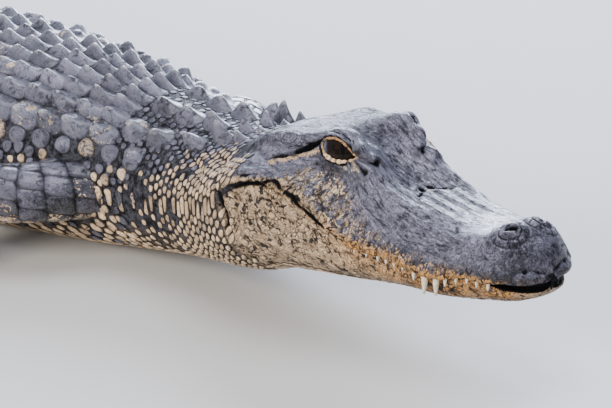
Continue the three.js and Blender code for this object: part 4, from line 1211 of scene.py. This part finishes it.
# Crest of the tail: upright blades of horn, one pair to each ring of the tail, in two rows that draw
# together into one
RINGS_FROM, RING_COUNT, RING_LONG = SCUTES_FROM + SCUTE_ROWS * SCUTE_LONG, 34, 0.1
CREST_JOINS = 5.75
seeds = []
for n in range(RING_COUNT):
    s = RINGS_FROM + (n + 0.5) * RING_LONG
    high = (0.028 + 0.04 * smooth(s, 3.8, 5.6)) * (1 - 0.75 * smooth(s, 6.2, LENGTH)) + 0.004
    if s < CREST_JOINS:
        across = float(half_width(s)) * (0.62 - 0.4 * smooth(s, 3.9, CREST_JOINS))
        for side in (1, -1):
            seeds.append((s, side * arc_of(s, across), RING_LONG * 1.05, 0.06, high, 0.0))
    else:
        seeds.append((s, 0.0, RING_LONG * 1.05, 0.04, high, 0.0))
coat("tail_crest", scale_shape(8, 8, 3, keel_top(0.8, 0.1)), on_hide, seeds)

# Flank: large round plates beside the scutes, then rows of small oval scales set apart in black skin, many
# of them cream. None lie where a leg grows out
PLATES_FROM, PLATE_APART = 1.5, 0.088
FLANK_ROWS = [
    (0.068, 0.044, 0.034), (0.1, 0.04, 0.031), (0.13, 0.039, 0.029), (0.158, 0.038, 0.028),
    (0.186, 0.038, 0.028), (0.214, 0.04, 0.03), (0.244, 0.042, 0.032), (0.275, 0.042, 0.034),
    (0.307, 0.044, 0.036),
]


def dome_top(far, *_):
    return 0.3 + 0.7 * math.sqrt(max(1 - far * far, 0))


def clear_of_legs(seeds):
    """The seeds whose place on the skin is outside every leg."""
    seeds = np.array(seeds)
    points, _ = on_hide(seeds[:, 0], seeds[:, 1])
    inside = np.zeros(len(seeds), bool)
    for chart in leg_charts.values():
        middle = chart[:, :-1].mean(1)
        radius = np.linalg.norm(chart[:, :-1] - middle[:, None], axis=2).mean(1)
        for centre, reach in zip(middle, radius):
            inside |= np.linalg.norm(points - centre, axis=-1) < reach
    return seeds[~inside]


seeds = []
s = PLATES_FROM
while s < RINGS_FROM:
    for side in (1, -1):
        pick = rng.random(4)
        grow = 0.75 + 0.4 * pick[2]
        cream = 0.14 + 0.4 * (pick[1] > 0.72)
        around = side * (scute_edge(s) + 0.022 + 0.012 * pick[0])
        seeds.append((s, around, 0.078 * grow, 0.066 * grow, 0.014, cream))
    s += PLATE_APART
flank_plate = scale_shape(8, 8, 2.2, keel_top(2, 0.55))
coat("flank_plates", flank_plate, on_hide, seeds, twist=0.2, ragged=0.05, rimmed=0.93)
seeds = []
for row, (offset, gap, size) in enumerate(FLANK_ROWS):
    s = 1.52 + gap * (row % 2) / 2
    while s < RINGS_FROM - 0.03:
        for side in (1, -1):
            pick = rng.random(5)
            grow = 0.8 + 0.4 * pick[0]
            cream = (0.25 + 0.75 * (pick[1] > 0.3)) if row > 0 else 0.2 + 0.7 * (pick[1] > 0.6)
            around = side * (scute_edge(s) + offset + 0.008 * (pick[3] - 0.5))
            wide = size * grow * (0.8 + 0.2 * pick[4])
            seeds.append((s + 0.008 * (pick[2] - 0.5), around, size * grow, wide, 0.007, cream))
        s += gap
flank_scale = scale_shape(6, 6, 2.2, dome_top)
coat("flank_scales", flank_scale, on_hide, clear_of_legs(seeds), twist=0.3, ragged=0.07)

# Neck: close rows of small scales. On the sides they are cream ovals set upright in black hide, towards the
# shoulder they shrink to separate dots, and over the nape they are fine, dark and low
NECK_FROM, NECK_TO = 0.965, 1.6
seeds = []
s, n = NECK_FROM, 0
while s < NECK_TO:
    above, below = (float(girth) for girth in girths(s))
    gap = 0.0225 + 0.003 * float(bell((s - 1.12) / 0.08)) + 0.004 * float(smooth(s, 1.3, 1.5))
    b = 0.012 + 0.0145 * (n % 2)
    while b < (above + below) * 0.97:
        over = b / above
        step = 0.024 + 0.006 * float(bell((over - 1.05) / 0.25))
        spot, _ = on_hide(np.array([s]), np.array([b]))
        marked = float(marks(spot)[0][0])
        bare = float(smooth(s, 1.2, 1.42)) * float(bell((over - 1.0) / 0.45))
        behind_jaw = 1.07
        if over > 0.98:
            behind_jaw = 1.005 + 0.02 * math.sin(b * 40)
        elif over > 0.62:
            behind_jaw = NECK_FROM
        for side in (1, -1):
            pick = rng.random(6)
            if s < behind_jaw or pick[4] < 0.45 * bare:
                continue
            grow = (0.86 + 0.2 * pick[0]) * (1 - 0.22 * bare)
            cream = marked * 1.2 - 0.4 * (pick[1] > 0.86) + 0.35 * (pick[2] > 0.8) * (over > 0.45)
            high = 0.0024 + 0.003 * float(smooth(over, 0.3, 0.8))
            along = s + 0.005 * (pick[3] - 0.5) + 0.01 * math.sin(b * 9)
            around = side * (b + 0.004 * (pick[5] - 0.5))
            seeds.append((along, around, gap * 0.94 * grow, step * 0.96 * grow, high, np.clip(cream, 0, 1)))
        b += step
    s += gap
    n += 1
neck_scale = scale_shape(5, 5, 2.4, dome_top)
coat("neck_scales", neck_scale, on_hide, clear_of_legs(seeds), depth=0.004, twist=0.16, ragged=0.08,
     sheen=0.7, wet=0.45)

# Belly and throat: flat, pale plates of horn in cross rows, nearly square, that grow wider to the rear
BELLY_FROM = 0.2


def flat_top(far, *_):
    return 0.45 + 0.55 * (1 - far**3)


seeds = []
s = BELLY_FROM
while s < RINGS_FROM:
    above, below = (float(girth) for girth in girths(s))
    long = 0.026 + 0.026 * float(smooth(s, 0.9, 1.7))
    start = above + below * 0.62
    if s > SCUTES_FROM:
        start = scute_edge(s) + 0.325
    elif s > 1.0:
        start = (above + below) * 0.985
    count = max(int((above + below - start) / (long * 1.05)), 1)
    wide = (above + below - start) / count
    for k in range(count):
        for side in (1, -1):
            cream = 0.8 + 0.2 * rng.random(2)[0]
            seeds.append((s, side * (start + (k + 0.5) * wide), long * 0.97, wide * 0.95, 0.004, cream))
    s += long
coat("belly_plates", scale_shape(4, 4, 5, flat_top), on_hide, clear_of_legs(seeds), depth=0.003)

# Tail: rings of long flat plates of horn between the crest's blades, dark on top and cream below
seeds = []
for n in range(RING_COUNT):
    s = RINGS_FROM + (n + 0.5) * RING_LONG
    girth = float(np.interp(s, ROWS, upper_girth + lower_reach))
    count = max(int(girth / 0.062), 3)
    for k in range(count):
        for side in (1, -1):
            pick = rng.random(2)
            b = (k + 0.5) * girth / count
            cream = smooth(b / girth, 0.62, 0.8) * 0.9 + 0.25 * (pick[0] > 0.85)
            high = 0.007 * min(1, girth / 0.25 + 0.25)
            seeds.append((s, side * b, RING_LONG * 0.96, girth / count * 0.94, high, cream))
coat("tail_plates", scale_shape(6, 6, 5, flat_top), on_hide, seeds, depth=0.004)

# Legs: rings of nearly square plates of horn that follow each leg down to the ankle, smaller towards it.
# None are laid where the leg is inside the trunk
PLATE_STEP = 0.062


def tube_chart(points):
    """The skin of a leg or toe by the distance along it and round it from its top, with its sizes."""
    normal = normals_of(points)
    middle = points[:, :-1].mean(1)
    along = np.concatenate([[0], np.cumsum(np.linalg.norm(np.diff(middle, axis=0), axis=1))]) / HEAD
    girth = np.linalg.norm(np.diff(points, axis=1), axis=2).sum(1) / HEAD
    steps = points.shape[1] - 1

    def on(a, b):
        row = np.interp(a, along, np.arange(len(along)))
        around = (b / np.interp(a, along, girth)) % 1 * steps
        return read_grid(points, row, around), read_grid(normal, row, around)

    return on, along[-1], lambda a: float(np.interp(a, along, girth))


def in_trunk(points, margin):
    """Which points lie inside the trunk, drawn in by a margin."""
    s, left, up = along_spine(points)
    above = up > side_line(s)
    reach = np.where(above, back_line(s) - side_line(s), side_line(s) - under_line(s))
    power = np.where(above, upper_square(s), lower_square(s))
    apart = (np.abs(left) / (half_width(s) - margin)) ** power
    return apart + (np.abs(up - side_line(s)) / (reach - margin)) ** power < 1


for name, *_ in LEGS:
    on_leg, long, girth_at = tube_chart(leg_charts[name])
    seeds = []
    a, n = 0.12, 0
    while a < long - 0.02:
        girth = girth_at(a)
        step = PLATE_STEP * (1 - 0.4 * a / long)
        count = max(int(girth / (step * 1.1)), 6)
        for k in range(count):
            b = (k + 0.5 * (n % 2)) / count * girth
            pick = rng.random(3)
            spot, normal = on_leg(np.array([a]), np.array([b]))
            if in_trunk(spot, 0.004)[0]:
                continue
            cream = 0.12 + 0.28 * (pick[0] > 0.82) if normal[0][2] > -0.8 else 0.5
            seeds.append((a, b, step * 1.03, girth / count * 1.02, 0.005, cream))
        a += step
        n += 1
    coat(name + "_scales", scale_shape(6, 6, 7, flat_top), on_leg, seeds, depth=0.004, twist=0.05,
         chart_size=(long * 1.02, 2.1), rimmed=0.9, ragged=0.02, sheen=0.45)

# Toes: a row of horn plates across each toe, three wide, and more of them on the longer hind toes
PLATES_PER_TOE = {"hand": 7, "foot": 9}
for name, side, kind, *_ in LEGS:
    pieces = []
    count = PLATES_PER_TOE[kind]
    for i in range(len(FEET[kind][4])):
        on_toe_chart, long, girth_at = tube_chart(toe_charts[name, i])
        step = (long - 0.024) / count
        seeds = []
        for k in range(count):
            a = 0.02 + (long - 0.024) * (k + 0.5) / count
            girth = girth_at(a)
            for offset in (0, 0.24, -0.24):
                cream = 0.2 + 0.3 * (offset != 0)
                seeds.append((a, offset * girth, step * 0.98, girth * 0.22, 0.003, cream))
        pieces.append(coat(
            f"{name}_toe_{i}", scale_shape(4, 4, 4, flat_top), on_toe_chart, seeds, depth=0.002,
            chart_size=(long * 1.1, 0.3), box=(i / 5, 0, (i + 0.9) / 5, 1),
        ))
    with bpy.context.temp_override(
        active_object=pieces[0], selected_editable_objects=pieces, selected_objects=pieces,
    ):
        bpy.ops.object.join()
    pieces[0].name = name + "_toe_scales"

# Eyes: dark glossy balls that fill the sockets. The iris is a very dark brown with a slit pupil, mostly in
# the lids' shade, and a pale inner lid shows at its rear edge
eye_material, tree, shader = material("eye", {
    "Roughness": 0.4, "Specular IOR Level": 0.05, "Coat Weight": 0.2, "Coat Roughness": 0.08,
})
ahead, lift = painted(tree, "ahead"), painted(tree, "lift")
streaks = noise(tree, node(tree, "TexCoord").outputs["Object"], 300, 3, 0.6)
far = maths(tree, "SQRT", plus(tree, times(tree, ahead, ahead), times(tree, lift, lift)))
beside = plus(tree, maths(tree, "ABSOLUTE", ahead), times(tree, maths(tree, "ABSOLUTE", lift), 0.25))
inner_lid = ramp(tree, plus(tree, ahead, times(tree, streaks, 0.1)), -0.86, -0.66, 1.0, 0.0)
iris = blend(tree, ramp(tree, streaks, 0.35, 0.65), (0.004, 0.003, 0.002), (0.014, 0.008, 0.005))
colour = blend(tree, ramp(tree, beside, 0.09, 0.14), (0.002, 0.002, 0.002), iris)
colour = blend(tree, ramp(tree, far, 0.5, 0.62), colour, (0.008, 0.006, 0.005))
feed(tree, blend(tree, inner_lid, colour, (0.09, 0.1, 0.14)), shader["Base Color"])
for word, side in (("left", 1), ("right", -1)):
    middle = place(EYE_AT[0], side * EYE_AT[1], EYE_AT[2])
    front, up, out = gaze_frame(side)
    bm = bmesh.new()
    bmesh.ops.create_uvsphere(bm, u_segments=48, v_segments=32, radius=EYE_RADIUS * HEAD)
    for vert in bm.verts:
        x, y, z = vert.co
        vert.co = Vector(middle + front * x + up * y + out * z)
    bm.normal_update()
    bmesh.ops.recalc_face_normals(bm, faces=bm.faces)
    mesh = bpy.data.meshes.new(f"eye_ball_{word}")
    bm.to_mesh(mesh)
    bm.free()
    eye = put(f"eye_ball_{word}", mesh)
    apart = (np.array([vert.co for vert in mesh.vertices]) - middle) / (EYE_RADIUS * HEAD)
    paint(mesh, {"ahead": apart @ front, "lift": apart @ up})
    mesh.shade_smooth()
    mesh.materials.append(eye_material)
    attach(eye, "root")
    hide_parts(f"eye_{word}")

# Lids' edges: a fleshy rim round each opening, thicker and beaded below, of cream and tan skin, darker on
# the upper rim, with painted shade between the beads. It is a tube that follows the opening just off the
# ball
LID_STEPS, LID_ROUND = 96, 10
LID_OFF = 0.0025
lid_material, tree, shader = material("lids", {"Roughness": 0.45, "Specular IOR Level": 0.3})
# mottling with a little painted sheen
mottling = mottled(tree, 260, 0.1, node(tree, "TexCoord").outputs["Object"])
# painted shade between the beads, and the darker upper rim
colour = blend(tree, painted(tree, "shade_and_dark"), mottling["Colour"], (0.01, 0.008, 0.007))
feed(tree, colour, shader["Base Color"])
feed(tree, bumped(tree, mottling["Grain"], 0.001), shader["Normal"])
outline = np.array(OPENING + OPENING[:1])
far = np.concatenate([[0], np.cumsum(np.linalg.norm(np.diff(outline, axis=0), axis=1))])
ring_at = np.linspace(0, far[-1], LID_STEPS + 1)[:-1]
loop = np.stack([np.interp(ring_at, far, outline[:, 0]), np.interp(ring_at, far, outline[:, 1])], -1)
for _ in range(6):
    loop = (np.roll(loop, 1, 0) + 2 * loop + np.roll(loop, -1, 0)) / 4
depth = np.sqrt(np.maximum(1 - (loop**2).sum(1), 0.02))
below = smooth(-loop[:, 1], -0.05, 0.3)
turn = np.arange(LID_STEPS) / LID_STEPS * 2 * math.pi
beaded = 0.6 * np.cos(turn * 17) + 0.4 * np.cos(turn * 7 + 1)
thick = (0.0034 + 0.0018 * below) * HEAD * (1 + (0.1 + 0.16 * below) * beaded)
angle = np.linspace(0, 2 * math.pi, LID_ROUND + 1)
for word, side in (("left", 1), ("right", -1)):
    middle = place(EYE_AT[0], side * EYE_AT[1], EYE_AT[2])
    front, up, out = gaze_frame(side)
    ray = loop[:, :1] * front + loop[:, 1:] * up + depth[:, None] * out
    ray /= np.linalg.norm(ray, axis=1, keepdims=True)
    centre = middle + ray * (EYE_RADIUS + LID_OFF) * HEAD
    along = np.roll(centre, -1, 0) - np.roll(centre, 1, 0)
    along /= np.linalg.norm(along, axis=1, keepdims=True)
    beside = np.cross(along, ray)
    round_it = 1.25 * beside[:, None] * np.cos(angle)[:, None] + ray[:, None] * np.sin(angle)[:, None]
    rim = centre[:, None] + round_it * thick[:, None, None]
    mesh = shell(np.concatenate([rim, rim[:1]]), f"lids_{word}")
    rim_points = np.array([vert.co for vert in mesh.vertices])
    which = np.linalg.norm(rim_points[:, None] - centre[None], axis=-1).argmin(1)
    paint(mesh, {
        "cream": (0.54 + 0.08 * below)[which], "tan": (1.0 - 0.5 * below)[which],
        "shade_and_dark": np.maximum(0.5 * (1 - below), 0.8 * below * smooth(-beaded, 0.2, 0.7))[which],
    })
    lids = put(f"lids_{word}", mesh)
    mesh.shade_smooth()
    mesh.materials.append(lid_material)
    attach(lids, "root")

# Teeth: ivory cones, stained in patches. They stand in the jaw's edge, lean back a little and show
# below the upper lip where the mouth is shut on them. Each has its station and the length that shows
TEETH = [
    (0.095, 0.02), (0.13, 0.022), (0.165, 0.016), (0.2, 0.018), (0.232, 0.022), (0.262, 0.05),
    (0.298, 0.054), (0.335, 0.026), (0.38, 0.014), (0.415, 0.018), (0.445, 0.018), (0.475, 0.018),
    (0.515, 0.014), (0.555, 0.012),
]
TOOTH_ROOT = 0.012
tooth_material, tree, shader = material("teeth", {"Roughness": 0.25})
stain = noise(tree, node(tree, "TexCoord").outputs["Object"], 260, 3, 0.6)
colour = blend(tree, ramp(tree, stain, 0.3, 0.7, 0.0, 0.7), (0.78, 0.72, 0.6), (0.5, 0.38, 0.22))
feed(tree, colour, shader["Base Color"])
feed(tree, bumped(tree, stain, 0.0003), shader["Normal"])
bm = bmesh.new()
for s, long in TEETH:
    thick = 0.0035 + 0.11 * long
    whole = long + TOOTH_ROOT
    for side in (1, -1):
        before = len(bm.verts)
        made = bmesh.ops.create_cone(
            bm, cap_ends=True, segments=14, radius1=thick * HEAD, radius2=thick * HEAD * 0.34,
            depth=whole * HEAD)["verts"]
        edges = {e for v in made for e in v.link_edges if abs(e.verts[0].co.z - e.verts[1].co.z) > 0.001}
        bmesh.ops.subdivide_edges(bm, edges=list(edges), cuts=3)
        bm.verts.ensure_lookup_table()
        root = Vector(place(s, side * (float(half_width(s)) - thick - 0.0035), float(side_line(s))))
        for vert in bm.verts[before:]:
            down = 0.5 + vert.co.z / (whole * HEAD)
            swell = 1 + 0.35 * math.sin(math.pi * down)
            x = vert.co.x * swell - 0.1 * long * HEAD * down * down
            vert.co = root + Vector((x, vert.co.y * swell, (TOOTH_ROOT - down * whole) * HEAD))
bm.normal_update()
bmesh.ops.recalc_face_normals(bm, faces=bm.faces)
mesh = bpy.data.meshes.new("teeth")
bm.to_mesh(mesh)
bm.free()
teeth = put("teeth", mesh)
mesh.shade_smooth()
mesh.materials.append(tooth_material)
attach(teeth, "root")

# Claws: dark curved horn with lengthwise streaks, on the three inner toes of every foot. Each is a tube
# that thins to a point
CLAW_SIZES = [0.0095, 0.0098, 0.006, 0.0012]
claw_material, tree, shader = material("claws", {"Roughness": 0.35})
streak = noise(tree, node(tree, "TexCoord").outputs["Object"], 340, 4, 0.6, 0.3)
colour = blend(tree, ramp(tree, streak, 0.35, 0.65), (0.025, 0.022, 0.02), (0.11, 0.09, 0.07))
feed(tree, colour, shader["Base Color"])
feed(tree, bumped(tree, streak, 0.0004), shader["Normal"])
bm = bmesh.new()
for side, spots in claw_places:
    rows = [(*spot, size, size * 1.05) for spot, size in zip(spots, CLAW_SIZES)]
    bm.from_mesh(shell(ended(tube(rows, side, 18, 16)), "claw"))
bm.normal_update()
bmesh.ops.recalc_face_normals(bm, faces=bm.faces)
mesh = bpy.data.meshes.new("claws")
bm.to_mesh(mesh)
bm.free()
claws = put("claws", mesh)
mesh.shade_smooth()
mesh.materials.append(claw_material)
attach(claws, "root")
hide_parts(*[f"{leg}_claw_{i}" for leg, *_ in LEGS for i in (1, 2, 3)])

# Stage: a plain pale floor and soft studio light. A cool sky panel stands over the far side, where it lays
# the pale sheen on the wet back, a weak light hangs overhead, and a warmer one before the head lights its
# side and is left out of the gloss
FLOOR_COLOUR, SKY_COLOUR = (0.62, 0.62, 0.6), (0.8, 0.83, 0.95, 1)
LIGHTS = [
    ("sky_panel", (-2.2, 3.2, 1.7), (0.7, -0.2, 0.1), 3.2, 400, (0.74, 0.82, 1.0)),
    ("overhead", (0.6, 0.1, 3.0), (0.6, -0.2, 0.1), 2.4, 60, (0.86, 0.9, 1.0)),
    ("key", (0.9, -3.4, 1.5), (0.7, -0.2, 0.1), 2.0, 200, (1.0, 0.93, 0.86)),
]
bm = bmesh.new()
bmesh.ops.create_grid(bm, x_segments=1, y_segments=1, size=40)
floor_mesh = bpy.data.meshes.new("floor")
bm.to_mesh(floor_mesh)
bm.free()
floor = put("floor", floor_mesh)
floor_mesh.materials.append(material("floor", {"Base Color": FLOOR_COLOUR, "Roughness": 0.6})[0])

world = bpy.data.worlds.new("studio")
world.use_nodes = True
world.node_tree.nodes["Background"].inputs["Color"].default_value = SKY_COLOUR
world.node_tree.nodes["Background"].inputs["Strength"].default_value = 0.6
bpy.context.scene.world = world

for name, at, target, size, power, colour in LIGHTS:
    data = bpy.data.lights.new(name, "AREA")
    data.shape = "DISK"
    data.size = size
    data.energy = power
    data.color = colour
    lamp = put(name, data)
    lamp.location = at
    lamp.rotation_euler = (Vector(target) - Vector(at)).to_track_quat("-Z", "Y").to_euler()
    lamp.visible_camera = False
    lamp.visible_glossy = name != "key"

# Camera: a long lens 16 heads before the snout, to the animal's right and a little above it. The tip of
# the snout falls at the photograph's pixel (550, 286), where one head is 389 pixels
AZIMUTH, ELEVATION, ROLL = math.radians(45), math.radians(19), math.radians(1.7)
HEADS_AWAY = 16
HEAD_PIXELS = 389
FRAME = (612, 408)
TIP_PIXEL = (550, 286)
SENSOR = 36
tip = Vector((*SNOUT, RISE * HEAD))
back = Vector((
    math.sin(AZIMUTH) * math.cos(ELEVATION), -math.cos(AZIMUTH) * math.cos(ELEVATION), math.sin(ELEVATION),
))
level = Vector((math.cos(AZIMUTH), math.sin(AZIMUTH), 0))
upward = back.cross(level)
across = level * math.cos(ROLL) - upward * math.sin(ROLL)
upward = level * math.sin(ROLL) + upward * math.cos(ROLL)
aside = (FRAME[0] / 2 - TIP_PIXEL[0]) / HEAD_PIXELS * HEAD
above = (TIP_PIXEL[1] - FRAME[1] / 2) / HEAD_PIXELS * HEAD
away = back * HEADS_AWAY * HEAD
axis = (away - across * aside - upward * above).normalized()
across = (across - axis * across.dot(axis)).normalized()
camera_data = bpy.data.cameras.new("camera")
camera_data.sensor_width = SENSOR
camera_data.lens = HEAD_PIXELS * HEADS_AWAY / FRAME[0] * SENSOR
camera_data.clip_end = 200
camera = put("camera", camera_data)
camera.rotation_euler = Matrix((across, axis.cross(across), axis)).transposed().to_euler()
camera.location = tip + away
bpy.context.scene.camera = camera
